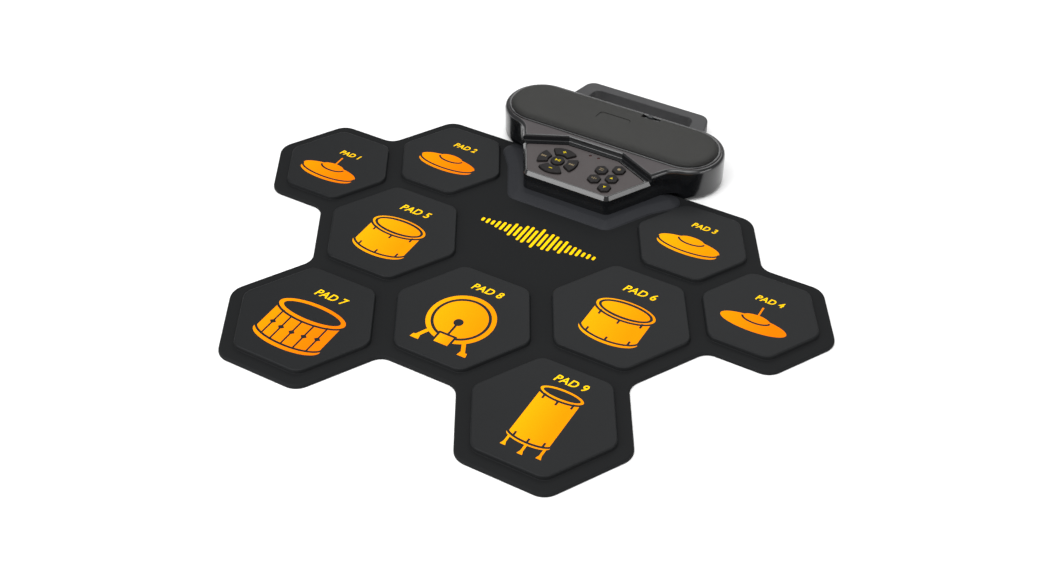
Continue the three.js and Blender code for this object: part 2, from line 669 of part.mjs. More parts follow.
function jackSocket(x) {
  const body = box(x - 3.3, 241, BOARD_TOP + GAP, x + 3.3, REAR_Y - WALL - GAP, JACK_Z + 3.2);
  const collar = rod(x, JACK_Z, 2.9, REAR_Y - WALL - 1, REAR_Y - GAP);
  return cut(join(body, collar), rod(x, JACK_Z, 1.75, 244, REAR_Y + 1));
}

function usbSocket() {
  const shell = box(USB_X - 4.6, 245, USB_Z - 1.7, USB_X + 4.6, REAR_Y - GAP, USB_Z + 1.7);
  const mouth = box(USB_X - 4.1, 247, USB_Z - 1.2, USB_X + 4.1, REAR_Y + 1, USB_Z + 1.2);
  const tongue = box(USB_X - 3.2, 246, USB_Z - 0.35, USB_X + 3.2, REAR_Y - 1.5, USB_Z + 0.35);
  return join(cut(shell, mouth), tongue);
}

function powerSwitchKnob() {
  const x = SWITCH_X - SWITCH_TRAVEL / 2;
  const stem = box(x - 1.2, SWITCH_Y - 0.8, BAFFLE_BOTTOM, x + 1.2, SWITCH_Y + 0.8, BAFFLE_TOP + 1);
  const grip = prism(
    rectangle(x - 2.2, SWITCH_Y - 1.5, x + 2.2, SWITCH_Y + 1.5, 0.8),
    [[0, BAFFLE_TOP + 0.4], [0, GRILLE_TOP - 0.7], [0.4, GRILLE_TOP - 0.2]],
  );
  return join(stem, grip);
}

function addSpeaker(side, x) {
  const radius = SPEAKER_RADIUS;
  add(`speaker_frame_${side}`, turned(x, BAR_Y, [
    [radius, 24.7], [radius, 26], [radius - 2.3, 26], [radius - 2.3, 24.9], [10.6, 16.2],
    [10.6, 14.9], [12.2, 14.9], [radius - 1.2, 24.7], [radius, 24.7],
  ]), 'metal');
  add(`speaker_cone_${side}`, turned(x, BAR_Y, [
    [0, 19.6], [4, 18.6], [radius - 2.8, 25.2], [radius - 2.8, 25.8], [4.4, 19.4], [0, 20.6],
  ]), 'paper');
  add(`speaker_magnet_${side}`, turned(x, BAR_Y, [
    [0, 6.4], [11.2, 6.4], [12, 7.2], [12, 13.8], [11.2, 14.6], [0, 14.6],
  ]), 'metal');
}

add('key_board', keyBoard(), 'board');
add('main_board', box(-31, 212, BOARD_BOTTOM, 31, 251, BOARD_TOP), 'board');
add('battery_pack', prism(rectangle(-24, 214, 24, 246, 3), [[0.6, 3.1], [0, 3.7], [0, 11]]), 'cell');
for (const [name, x] of LED_PLACES) {
  add(name, turned(x, LED_Y, [
    [0, BOARD_TOP + GAP], [LED_RADIUS, BOARD_TOP + GAP], [LED_RADIUS, PANEL_TOP - 0.5],
    [0, PANEL_TOP - 0.1],
  ], 10), 'lens');
}
for (const [name, x] of JACKS) add(name, jackSocket(x), 'gloss');
add('usb_socket', usbSocket(), 'metal');
add('power_switch_body', box(
  SWITCH_X - 5, SWITCH_Y - 2.6, 20.4, SWITCH_X + 5, SWITCH_Y + 2.4, BAFFLE_BOTTOM - GAP,
), 'metal');
add('power_switch_knob', powerSwitchKnob(), 'knob');
addSpeaker('left', -SPEAKER_X);
addSpeaker('right', SPEAKER_X);

// ---- handle, clamp, feet and screws ----
function facing([x0, y0], [x1, y1]) {
  return degrees(Math.atan2(y1 - y0, x1 - x0)) - 90;
}

function carryHandle() {
  const near = [HANDLE_WALL_X, REAR_Y + GAP];
  const far = [HANDLE_FAR_X, HANDLE_FAR_Y];
  const side = line(facing(near, far), ...near);
  const nearCorner = cornerArc(line(-90, ...near), side, 2, 0, 2);
  const farCorner = cornerArc(side, line(90, ...far), 9, 0, 5);
  const slotSide = line(facing(SLOT_NEAR, SLOT_FAR), ...SLOT_NEAR);
  const slot = mirrored([
    cornerArc(line(-90, ...SLOT_NEAR), slotSide, 3, 0, 3),
    cornerArc(slotSide, line(90, ...SLOT_FAR), 6, 0, 4),
  ]);
  const [screwX, screwZ] = HANDLE_SCREW;
  return cut(
    prism(mirrored([nearCorner, farCorner]), [
      [1.2, HANDLE_BOTTOM], [0, HANDLE_BOTTOM + 1.2], [0, HANDLE_TOP - 1.5], [0.5, HANDLE_TOP - 0.4],
      [1.5, HANDLE_TOP],
    ]),
    prism(slot, [
      [-1, HANDLE_BOTTOM - 0.01], [0, HANDLE_BOTTOM + 1], [0, HANDLE_TOP - 1.2],
      [-1.2, HANDLE_TOP + 0.01],
    ]),
    ...[-screwX, screwX].map((x) => rod(x, screwZ, 1.7, REAR_Y, REAR_Y + 8, 8)),
  );
}

function clampPlate() {
  const { x, front, back, bottom, top } = CLAMP_PLATE;
  const holes = bothSides([CLAMP_SCREW]).flatMap(([hx, hy]) => [
    post(hx, hy, 1.8, bottom - 1, top + 1, 8), post(hx, hy, 3.3, bottom - 1, bottom + 1.1, 8),
  ]);
  return cut(prism(rectangle(-x, front, x, back, 4), [[0, bottom], [0, top]]), ...holes);
}

// A pan-head screw along Z with its head at the bottom
function uprightScrew(x, y, headRadius, head, neck, tip) {
  return turned(x, y, [
    [0, head], [headRadius, head], [headRadius, neck], [1.35, neck], [1.35, tip - 1], [0, tip],
  ], 8);
}

add('carry_handle', carryHandle(), 'handle');
add('mat_clamp_plate', clampPlate(), 'gloss');
bothSides([CLAMP_SCREW]).forEach(([x, y], i) => {
  add(`clamp_screw_${i + 1}`, uprightScrew(x, y, 2.9, 0.5, 1.2, 11.5), 'metal');
});
bothSides(CASE_SCREWS).forEach(([x, y], i) => {
  add(`case_screw_${i + 1}`, uprightScrew(x, y, 2.9, 1.1, 2.7, 14), 'metal');
});
[-HANDLE_SCREW[0], HANDLE_SCREW[0]].forEach((x, i) => {
  const inner = REAR_Y - WALL - GAP;
  const screw = join(
    rod(x, HANDLE_SCREW[1], 2.7, inner - 2, inner, 8),
    rod(x, HANDLE_SCREW[1], 1.35, inner - 1, REAR_Y + 7, 8),
  );
  add(`handle_screw_${i + 1}`, screw, 'metal');
});
bothSides(FOOT_PLACES).forEach(([x, y], i) => {
  add(`foot_${i + 1}`, turned(x, y, [[0, 0], [4.4, 0], [5, 0.5], [5, 1.4], [0, 1.4]], 12), 'rubber');
});

export default product;
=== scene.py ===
"""Looks of a roll-up electronic drum pad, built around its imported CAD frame.

Shapes are written in millimetres in the plan's own axes: the kick pad's centre is the origin,
+X runs to the player's right, +Y away from the player and +Z up from the table.
TO_FRAME turns them into the frame's metres.
"""

import json
import math

import bmesh
import bpy
from mathutils import Matrix, Vector
from mathutils.geometry import delaunay_2d_cdt


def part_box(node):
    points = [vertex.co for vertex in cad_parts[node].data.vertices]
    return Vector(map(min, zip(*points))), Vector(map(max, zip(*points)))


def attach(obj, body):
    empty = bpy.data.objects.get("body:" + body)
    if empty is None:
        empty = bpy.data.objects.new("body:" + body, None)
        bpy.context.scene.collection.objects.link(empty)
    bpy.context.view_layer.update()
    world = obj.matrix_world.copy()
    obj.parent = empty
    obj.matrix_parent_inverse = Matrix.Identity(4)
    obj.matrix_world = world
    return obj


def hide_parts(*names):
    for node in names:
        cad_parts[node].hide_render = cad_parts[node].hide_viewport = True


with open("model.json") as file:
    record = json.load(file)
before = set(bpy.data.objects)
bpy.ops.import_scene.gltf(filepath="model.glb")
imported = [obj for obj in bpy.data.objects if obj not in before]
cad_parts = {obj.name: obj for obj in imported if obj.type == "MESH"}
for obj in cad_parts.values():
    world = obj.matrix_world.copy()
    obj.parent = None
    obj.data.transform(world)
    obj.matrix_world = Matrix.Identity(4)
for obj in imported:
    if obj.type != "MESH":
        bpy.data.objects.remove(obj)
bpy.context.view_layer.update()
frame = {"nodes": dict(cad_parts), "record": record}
nodes = frame["nodes"]

# ---- driving dimensions, as in the CAD ----
MM = 0.001
GAP = 0.3
DRUM_APOTHEM = 46
CYMBAL_APOTHEM = 37.5
PAD_CORNER = 10
PAD_EDGE = 1.4
PAD_TOP = 6.5
PAD_FOOT = 0.7  # radius of the fillet where a pad rises from the mat
MAT_MARGIN = 11.8
MAT_TOP = 3.2
MAT_EDGE = 1.6
MAT_CORNER = 14
MAT_FILLET = 12
MAT_RIM = 4.5
MAT_BACK_Y = 201.6
RECESS_TOP = 2.7

CONSOLE_FRONT_Y = 148.3
CONSOLE_SIDE = (57.2, 185)
CONSOLE_FRONT_RADIUS = 6.5
WING_RADIUS = 17.5
BAR_Y = 228.4
BAR_END_X = 64.6
BAR_RADIUS = 29.7
REAR_Y = BAR_Y + BAR_RADIUS
RIDGE_CORNER = (23.3, 199.1)
RIDGE_SLANT = 25.3
WALL = 2.4
BEZEL = 2.4
BEZEL_SLOPE = 2
REAR_BEZEL = 3.8
LIP_INSET = 3.2
LIP_INSIDE = 4.9
GRILLE_INSET = LIP_INSIDE + GAP
PLINTH_FRONT_Y = 136
PLINTH_SIDE = (62.5, 170.5)
PLINTH_REAR_ANGLE = -41.5
PLINTH_SLOPE = 8

CASE_BOTTOM = 0.8
CASE_FLOOR = 2.8
PARTING = 4.2
SHELF_BOTTOM = PAD_TOP + GAP
CEILING = 20.2
SEAT = 21.1
BEZEL_BOTTOM = 19.6
BEZEL_TOP = 22.9
PANEL_TOP = 22.5
SHOULDER = 24.9
BAFFLE_BOTTOM = 26.5
BAFFLE_TOP = 27.9
DECK = 28.3
LIP_TOP = 29.2
GRILLE_TOP = 32.2

KEY_TOP = 24.1
KEY_FLANGE = 0.6
KEY_FLANGE_TOP = 20.4
KEY_BOTTOM = 19.4
KEY_EDGE = 0.55
RING_CENTRE = (-18.9, 171.9)
RING_INNER = 7.8
RING_OUTER = 16.2
RING_KEYS = (("right", 0, 30), ("up", 90, 39), ("left", 180, 30), ("down", 270, 39))
RING_KEY_CORNER = 1.1
ROUND_KEY_RADIUS = 5.3
HEX_KEY_APOTHEM = 4.7
HEX_KEY_CORNER = 1.3
KEY_HOLE_GAP = 0.35

SPEAKER_X = 52
SPEAKER_OUTLET = 15.5
GROOVE_WIDTH = 1.1
GROOVE_Y = 233.8
GROOVE_BEND = 2.5
GROOVE_DEPTH = 0.5
JACK_X = (-19, -8, 3)
JACK_Z = 18.6
JACK_RADIUS = 3.3
USB_X = 13.5
USB_Z = 17.1
USB_HALF = (4.9, 2)
NOTCH_FRONT_Y = 245.8
NOTCH_HALF = 8
SWITCH_X = 24
SWITCH_Y = 250
SWITCH_SLOT_HALF = (3.3, 1.2)
SWITCH_STEM_HALF = (1.2, 0.8)
SCREW_SEAT = 4.6
SCREW_HEAD_BORE = 3.3
SCREW_HOLE = 1.8
FOOT_RADIUS = 5
FOOT_WELL = 5.3
HANDLE_WALL_X = 63.3
HANDLE_FAR = (54.3, 295.9)
HANDLE_TOP = 14.5
HANDLE_BOTTOM = 1.2
SLOT_NEAR = (47.2, 262.6)
SLOT_FAR = (44.2, 286.8)

ROOT = "base"
ARC_STEP = 6  # degrees between the points of a rounded corner
SAME_POINT = 1e-3  # millimetres
INSIDE_ONLY = 1  # the triangulation that stays inside the given areas
# the second material is the deck's satin finish on the shell, and on the mat the plinth's lighter
# colour, which is painted light
SATIN_AND_PAINTED_LIGHT_SLOT = 1  # index of a piece's second material
COAT_ROUGHNESS = 0.1


def middle(node):
    low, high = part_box(node)
    return (low + high) / 2


ORIGIN = middle("sensor_kick")
TO_FRAME = Matrix.Translation((ORIGIN.x, ORIGIN.y, 0)) @ Matrix.Scale(MM, 4)


def plan(node):
    """Where a CAD node's middle is in the plan, in millimetres."""
    centre = middle(node)
    return (centre.x - ORIGIN.x) / MM, (centre.y - ORIGIN.y) / MM


# ---- plan outlines ----
# A line is its outward normal and its distance from the origin. An outline is a list of arcs,
# anticlockwise and joined by straight stretches, so that moving it inwards only changes radii.
def line(facing, x, y, outwards=0.0):
    normal = Vector((math.cos(math.radians(facing)), math.sin(math.radians(facing))))
    return facing, normal, normal.x * x + normal.y * y + outwards


def corner(a, b, convex, concave=None):
    """The arc that rounds the corner between two lines, as (x, y, radius, start, turn)."""
    turn = (b[0] - a[0] + 180) % 360 - 180
    side = 1 if turn > 0 else -1
    radius = convex if side > 0 or concave is None else concave
    cross = a[1].x * b[1].y - a[1].y * b[1].x
    x = (a[2] * b[1].y - b[2] * a[1].y) / cross
    y = (b[2] * a[1].x - a[2] * b[1].x) / cross
    back = side * radius / (1 + a[1].dot(b[1]))
    start = a[0] if side > 0 else a[0] + 180
    return x - (a[1].x + b[1].x) * back, y - (a[1].y + b[1].y) * back, radius, start, turn


def rounded(lines, convex, concave=None):
    return [corner(a, b, convex, concave) for a, b in zip(lines, lines[1:])]


def closed(lines, radius):
    return rounded([*lines, lines[0]], radius)


def mirrored(half):
    """The right-hand half of an outline, from front to rear, and its mirror image."""
    left = [(-x, y, radius, 180 - start - turn, turn) for x, y, radius, start, turn in half]
    return half + left[::-1]


def hexagon(x, y, apothem, radius, facing=30):
    """A regular hexagon with one side facing the given way."""
    return closed([line(facing + 60 * i, x, y, apothem) for i in range(6)], radius)


def rectangle(x0, y0, x1, y1, radius):
    sides = [line(-90, x0, y0), line(0, x1, y1), line(90, x1, y1), line(180, x0, y0)]
    return closed(sides, radius)


def circle(x, y, radius):
    return [(x, y, radius, 0, 360)]


def trace(outline, inset=0.0):
    """The outline's points, moved inwards by inset."""
    points = []
    for x, y, radius, start, turn in outline:
        reach = radius - math.copysign(1, turn) * inset
        steps = max(2, math.ceil(abs(turn) / ARC_STEP))
        last = steps if abs(turn) < 360 else steps - 1
        for i in range(last + 1):
            angle = math.radians(start + turn * i / steps)
            point = (x + reach * math.cos(angle), y + reach * math.sin(angle))
            if i or not points or math.dist(point, points[-1]) > SAME_POINT:
                points.append(point)
    return points


# ---- meshes ----
def round_over(top, radius, inset=0.0, depth=None, steps=5):
    """Profile of a convex edge that ends at height top, as (inset, z) from the wall inwards."""
    depth = depth or radius
    angles = [math.pi / 2 * i / steps for i in range(steps + 1)]
    return [(inset + radius * (1 - math.cos(a)), top - depth * (1 - math.sin(a))) for a in angles]


def foot_fillet(bottom, radius, steps=4):
    """Profile of a concave edge that rises from height bottom to a wall at inset 0."""
    angles = [math.pi / 2 * i / steps for i in range(steps + 1)]
    return [(-radius * (1 - math.sin(a)), bottom + radius * (1 - math.cos(a))) for a in angles]


def stack(mesh, outline, profile):
    """Rings of the outline's insets at their heights, joined by quads. Returns the end rings."""
    rings = []
    for inset, z in profile:
        rings.append([mesh.verts.new((x, y, z)) for x, y in trace(outline, inset)])
    for lower, upper in zip(rings, rings[1:]):
        for i in range(len(lower)):
            j = (i + 1) % len(lower)
            mesh.faces.new((lower[i], lower[j], upper[j], upper[i]))
    return rings[0], rings[-1]


def cover(mesh, *loops):
    """Fills the flat area inside the first loop and outside the others with triangles."""
    corners = [vertex for loop in loops for vertex in loop]
    areas = []
    for loop in loops:
        first = sum(len(area) for area in areas)
        ends = zip(loop, loop[1:] + loop[:1])
        anticlockwise = sum(a.co.x * b.co.y - b.co.x * a.co.y for a, b in ends) > 0
        areas.append(list(range(first, first + len(loop)))[:: 1 if anticlockwise else -1])
    flat = [vertex.co.to_2d() for vertex in corners]
    filled = delaunay_2d_cdt(flat, [], areas, INSIDE_ONLY, SAME_POINT / 10)
    _, _, triangles, sources, _, area_of = filled
    for triangle, owners in zip(triangles, area_of):
        if max(owners) == 0:
            mesh.faces.new([corners[sources[i][0]] for i in triangle])


def to_object(mesh, name):
    bmesh.ops.remove_doubles(mesh, verts=mesh.verts, dist=SAME_POINT)
    bmesh.ops.recalc_face_normals(mesh, faces=mesh.faces)
    mesh.transform(TO_FRAME)
    data = bpy.data.meshes.new(name)
    mesh.to_mesh(data)
    mesh.free()
    obj = bpy.data.objects.new(name, data)
    bpy.context.scene.collection.objects.link(obj)
    return obj


def solid(outline, profile, name="tool"):
    """A closed loft: the outline's insets at their heights, with both ends filled."""
    mesh = bmesh.new()
    bottom, top = stack(mesh, outline, profile)
    cover(mesh, bottom)
    cover(mesh, top)
    return to_object(mesh, name)


def plate(shape, z0, z1, name="tool"):
    """A flat plate whose outline is a list of points, or a tuple of it and a hole's outline."""
    mesh = bmesh.new()
    floor, roof = [], []
    for points in shape if isinstance(shape, tuple) else (shape,):
        low = [mesh.verts.new((x, y, z0)) for x, y in points]
        high = [mesh.verts.new((x, y, z1)) for x, y in points]
        for i in range(len(low)):
            j = (i + 1) % len(low)
            mesh.faces.new((low[i], low[j], high[j], high[i]))
        floor.append(low)
        roof.append(high)
    cover(mesh, *floor)
    cover(mesh, *roof)
    return to_object(mesh, name)


def block(x0, y0, z0, x1, y1, z1):
    return plate([(x0, y0), (x1, y0), (x1, y1), (x0, y1)], z0, z1)


def bar_along_y(x, z, radius, y0, y1, sides=32):
    """A round bar that runs away from the player."""
    mesh = bmesh.new()
    angles = [2 * math.pi * i / sides for i in range(sides)]
    ends = []
    for y in (y0, y1):
        ends.append([
            mesh.verts.new((x + radius * math.cos(a), y, z + radius * math.sin(a)))
            for a in angles
        ])
        mesh.faces.new(ends[-1])
    for i in range(sides):
        j = (i + 1) % sides
        mesh.faces.new((ends[0][i], ends[0][j], ends[1][j], ends[1][i]))
    return to_object(mesh, "tool")


def combine(base, operation, *tools):
    """Adds, cuts or intersects base with the tools, which are used up."""
    for tool in tools:
        change = base.modifiers.new(operation, "BOOLEAN")
        change.operation = operation
        change.solver = "MANIFOLD"
        change.object = tool
    graph = bpy.context.evaluated_depsgraph_get()
    data = bpy.data.meshes.new_from_object(base.evaluated_get(graph))
    base.modifiers.clear()
    base.data = data
    for tool in tools:
        bpy.data.objects.remove(tool)
    return base


def dress(obj, name, finish, body=ROOT, smooth=32, stands_for=()):
    """Names a finished piece, shades it, and ties it to its material, slot and body."""
    obj.name = name
    obj.data.name = name
    if obj.data.materials:
        obj.data.materials.clear()
    obj.data.materials.append(SURFACES[finish])
    obj.data.shade_smooth()
    obj.data.set_sharp_from_angle(angle=math.radians(smooth))
    even = obj.modifiers.new("even_normals", "WEIGHTED_NORMAL")
    even.keep_sharp = True
    if stands_for:
        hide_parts(*stands_for)
    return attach(obj, body)


# ---- materials ----
def linear(red, green, blue):
    """A screen colour, 0 to 255, as a linear colour."""
    def channel(value):
        value /= 255
        return value / 12.92 if value <= 0.04045 else ((value + 0.055) / 1.055) ** 2.4
    return channel(red), channel(green), channel(blue), 1.0


def shade(colour, factor):
    return tuple(min(1.0, c * factor) for c in colour[:3]) + (1.0,)


def noise(tree, coords, size_mm, detail=3.0):
    texture = tree.nodes.new("ShaderNodeTexNoise")
    texture.inputs["Scale"].default_value = 1 / (size_mm * MM)
    texture.inputs["Detail"].default_value = detail
    tree.links.new(coords, texture.inputs["Vector"])
    return texture.outputs["Fac"]


def spread(tree, value, low, high, start=0.3, end=0.7):
    """Maps a texture's middle range onto low to high."""
    node = tree.nodes.new("ShaderNodeMapRange")
    node.inputs["From Min"].default_value = start
    node.inputs["From Max"].default_value = end
    node.inputs["To Min"].default_value = low
    node.inputs["To Max"].default_value = high
    tree.links.new(value, node.inputs["Value"])
    return node.outputs["Result"]


def mix_colours(tree, factor, first, second):
    """Blends two colours by a texture. Either colour may be a node's output."""
    node = tree.nodes.new("ShaderNodeMix")
    node.data_type = "RGBA"
    sockets = [s for s in node.inputs if s.type == "RGBA"]
    for socket, colour in zip(sockets, (first, second)):
        if isinstance(colour, bpy.types.NodeSocket):
            tree.links.new(colour, socket)
        else:
            socket.default_value = colour
    tree.links.new(factor, node.inputs["Factor"])
    return next(s for s in node.outputs if s.type == "RGBA")


def bump(tree, height, depth_mm):
    node = tree.nodes.new("ShaderNodeBump")
    node.inputs["Distance"].default_value = depth_mm * MM
    tree.links.new(height, node.inputs["Height"])
    return node.outputs["Normal"]


def along(tree, place_in, axis):
    """One coordinate of a place."""
    node = tree.nodes.new("ShaderNodeSeparateXYZ")
    tree.links.new(place_in, node.inputs[0])
    return node.outputs[axis]


def new_surface(name, metallic=0.0, specular=0.5, coat=0.0):
    surface = bpy.data.materials.new(name)
    surface.use_nodes = True
    tree = surface.node_tree
    shader = tree.nodes["Principled BSDF"]
    shader.inputs["Metallic"].default_value = metallic
    shader.inputs["Specular IOR Level"].default_value = specular
    shader.inputs["Coat Weight"].default_value = coat
    shader.inputs["Coat Roughness"].default_value = COAT_ROUGHNESS
    coords = tree.nodes.new("ShaderNodeTexCoord")
    return surface, tree, shader, coords


def moulded(name, colour, rough, grain=0.5, depth=0.02, patch=18, vary=0.12, **more):
    """A moulded or finished surface: broad colour patches, a fine grain and uneven gloss."""
    surface, tree, shader, coords = new_surface(name, **more)
    place_in = coords.outputs["Object"]
    broad = noise(tree, place_in, patch)
    fine = noise(tree, place_in, grain, 4.0)
    tint = mix_colours(tree, broad, shade(colour, 1 - vary), shade(colour, 1 + vary))
    speck = mix_colours(tree, spread(tree, fine, 0.0, 1.0), shade(colour, 1 - vary), tint)
    tree.links.new(speck, shader.inputs["Base Color"])
    tree.links.new(spread(tree, broad, rough * 0.9, rough * 1.12), shader.inputs["Roughness"])
    tree.links.new(bump(tree, fine, depth), shader.inputs["Normal"])
    return surface


def padded_silicone(name, colour):
    """Silicone that is smoother on the pads than between them, with painted shade: its colour is
    darker in the channels between the pads and low on their walls.
    """
    surface, tree, shader, coords = new_surface(name, specular=0.1)
    place_in = coords.outputs["Object"]
    broad = noise(tree, place_in, 45)
    fine = noise(tree, place_in, 0.7, 4.0)
    height = along(tree, place_in, "Z")
    low, high = (MAT_TOP + 0.4) * MM, (PAD_TOP - 0.2) * MM
    # painted shade: below the pads' tops the colour falls to three quarters, standing in for the
    # shade that falls in the channels
    above_painted_shade = spread(tree, height, 0.0, 1.0, low, high)
    patchy = mix_colours(tree, broad, shade(colour, 0.9), shade(colour, 1.1))
    tint = mix_colours(tree, above_painted_shade, shade(colour, 0.75), patchy)
    tree.links.new(tint, shader.inputs["Base Color"])
    tree.links.new(spread(tree, height, 0.7, 0.45, low, high), shader.inputs["Roughness"])
    tree.links.new(bump(tree, fine, 0.03), shader.inputs["Normal"])
    return surface


def printed(name, inner, outer):
    """Screen-printed ink that fades across the picture, with the silicone's grain under it."""
    surface, tree, shader, coords = new_surface(name, specular=0.0)
    fade = spread(tree, along(tree, coords.outputs["Generated"], "X"), 0.0, 1.0, 0.05, 0.8)
    ink = mix_colours(tree, fade, outer, inner)
    patchy = noise(tree, coords.outputs["Object"], 0.6)
    worn = mix_colours(tree, spread(tree, patchy, 0.0, 0.16), ink, linear(150, 84, 8))
    tree.links.new(worn, shader.inputs["Base Color"])
    tree.links.new(spread(tree, patchy, 0.42, 0.58), shader.inputs["Roughness"])
    tree.links.new(bump(tree, patchy, 0.01), shader.inputs["Normal"])
    return surface


def mesh_cloth(name, wire, hole, pitch):
    """Fine speaker mesh: round holes in staggered rows, with painted shade that darkens it down the
    dome's edge.
    """
    surface, tree, shader, coords = new_surface(name, specular=0.2)
    turn = tree.nodes.new("ShaderNodeMapping")
    turn.inputs["Rotation"].default_value = (0, 0, math.radians(45))
    turn.inputs["Scale"].default_value = (1, 1, 0.001)
    tree.links.new(coords.outputs["Object"], turn.inputs["Vector"])
    cells = tree.nodes.new("ShaderNodeTexVoronoi")
    cells.inputs["Scale"].default_value = 1 / (pitch * MM)
    cells.inputs["Randomness"].default_value = 0.0
    tree.links.new(turn.outputs["Vector"], cells.inputs["Vector"])
    web = spread(tree, cells.outputs["Distance"], 0.0, 1.0, 0.22, 0.42)
    broad = noise(tree, coords.outputs["Object"], 25)
    # painted shade: below the crown the strands darken to four tenths of their colour, standing in
    # for the shade on the dome's sloping edge
    edge, crown = (GRILLE_TOP - 1.8) * MM, (GRILLE_TOP - 0.2) * MM
    on_top = spread(tree, along(tree, coords.outputs["Object"], "Z"), 0.0, 1.0, edge, crown)
    patchy = mix_colours(tree, broad, shade(wire, 0.85), shade(wire, 1.15))
    strand = mix_colours(tree, on_top, shade(wire, 0.4), patchy)
    tree.links.new(mix_colours(tree, web, hole, strand), shader.inputs["Base Color"])
    tree.links.new(spread(tree, broad, 0.42, 0.56), shader.inputs["Roughness"])
    tree.links.new(bump(tree, web, 0.12), shader.inputs["Normal"])
    return surface


AMBER = linear(240, 140, 6)
ORANGE = linear(232, 116, 6)
YELLOW = linear(250, 198, 14)

SURFACES = {
    "silicone": padded_silicone("silicone", linear(26, 27, 28)),
    # painted light: the plinth is the same silicone as the mat, made lighter to stand in for the
    # front light on the strip before the console
    "plinth": moulded("plinth", linear(39, 40, 43), 0.5, 0.7, 0.03, 45, 0.1, specular=0.1),
    "backing": moulded("backing", linear(34, 35, 37), 0.7, 0.9, 0.05, 30),
    "film": moulded("film", linear(190, 140, 70), 0.4, 2.0, 0.01),
    "sensor": moulded("sensor", linear(143, 143, 134), 0.5, 1.5, 0.02),
    "gloss": moulded("gloss", linear(13, 14, 16), 0.23, 1.2, 0.003, 14, 0.2, coat=0.4),
    "deck": moulded("deck", linear(66, 62, 63), 0.45, 0.35, 0.02, 25, 0.06, specular=0.2),
    "handle": moulded("handle", linear(58, 58, 59), 0.5, 0.4, 0.03, 20, 0.08, specular=0.3),
    "panel": moulded("panel", linear(66, 61, 61), 0.42, 0.35, 0.02, 22, 0.06, specular=0.2),
    "grille": mesh_cloth("grille", linear(56, 56, 54), linear(6, 6, 6), 0.95),
    "key": moulded("key", linear(26, 24, 24), 0.45, 0.3, 0.015, 6, 0.1, specular=0.12),
    "rubber": moulded("rubber", linear(26, 26, 27), 0.8, 0.6, 0.05, 8),
    "board": moulded("board", linear(24, 84, 46), 0.35, 1.1, 0.02, 5, 0.25, coat=0.3),
    "metal": moulded("metal", linear(170, 170, 172), 0.3, 0.8, 0.01, 6, 0.08, metallic=1.0),
    "paper": moulded("paper", linear(36, 36, 36), 0.9, 0.5, 0.08, 4, 0.2),
    "cell": moulded("cell", linear(96, 116, 150), 0.4, 2.5, 0.05, 10, 0.1),
    "lens": moulded("lens", linear(70, 18, 14), 0.15, 0.6, 0.004, coat=0.6),
    "knob": moulded("knob", linear(44, 46, 48), 0.35, 0.5, 0.02, 3, 0.08),
    "ink_amber": printed("ink_amber", AMBER, linear(244, 162, 10)),
    "ink_orange": printed("ink_orange", ORANGE, AMBER),
    "ink_yellow": printed("ink_yellow", YELLOW, linear(255, 205, 20)),
    "ink_key_yellow": printed("ink_key_yellow", linear(190, 170, 20), linear(200, 180, 30)),
    "ink_key_pale": printed("ink_key_pale", linear(120, 112, 88), linear(130, 120, 96)),
}

for part in frame["record"]["subparts"]:
    for material_slot in nodes[part["node"]].material_slots:
        material_slot.material = SURFACES[part["material_slot"]]

# ---- outlines of the product ----
PADS = {
    name: (*plan(f"sensor_{name}"), apothem)
    for apothem, names in (
        (DRUM_APOTHEM, ("kick", "snare", "tom_high", "tom_low", "tom_floor")),
        (CYMBAL_APOTHEM, ("hihat", "crash_left", "crash_right", "ride")),
    )
    for name in names
}

# The mat's edge runs a margin outside these pad edges, named by pad and edge normal
MAT_WALK = (
    ("kick", 270), ("tom_floor", 210), ("tom_floor", 270), ("tom_floor", 330), ("tom_floor", 30),
    ("tom_low", 330), ("ride", 270), ("ride", 330), ("ride", 30), ("ride", 90), ("crash_right", 30),
)


def mat_outline():
    lines = []
    for name, angle in MAT_WALK:
        x, y, apothem = PADS[name]
        lines.append(line(angle, x, y, apothem + MAT_MARGIN))
    lines.append(line(90, 0, MAT_BACK_Y))
    return mirrored(rounded(lines, MAT_CORNER, MAT_FILLET))


def plinth_outline():
    side = line(-30, *PLINTH_SIDE)
    rear = line(PLINTH_REAR_ANGLE, *PLINTH_SIDE)
    back = line(90, 0, MAT_BACK_Y - MAT_EDGE - PAD_FOOT - 0.2)
    half = [corner(line(-90, 0, PLINTH_FRONT_Y), side, 9), corner(side, rear, 18)]
    return mirrored(half + [corner(rear, back, 9)])


def console_outline():
    """The wing is a concave arc that touches the control end's side and the bar's round end."""
    front = line(-90, 0, CONSOLE_FRONT_Y)
    side = line(-30, *CONSOLE_SIDE)
    normal = Vector((math.cos(math.radians(-30)), math.sin(math.radians(-30))))
    bar_end = Vector((BAR_END_X, BAR_Y))
    reach = BAR_RADIUS + WING_RADIUS
    outwards = normal.dot(CONSOLE_SIDE) + WING_RADIUS - normal.dot(bar_end)
    to_wing = -30 - math.degrees(math.acos(outwards / reach))
    a = math.radians(to_wing)
    wing = bar_end + reach * Vector((math.cos(a), math.sin(a)))
    return mirrored([
        corner(front, side, CONSOLE_FRONT_RADIUS),
        (wing.x, wing.y, WING_RADIUS, 150, to_wing + 30),
        (BAR_END_X, BAR_Y, BAR_RADIUS, to_wing, 90 - to_wing),
    ])


def ridge_outline():
    """Everything behind the ridge that closes the control panel's rear."""
    far = 120
    lines = [
        line(-90, *RIDGE_CORNER), line(-90 - RIDGE_SLANT, *RIDGE_CORNER),
        line(0, far, 0), line(90, 0, far + BAR_Y),
    ]
    return mirrored(rounded(lines, 6, 2))


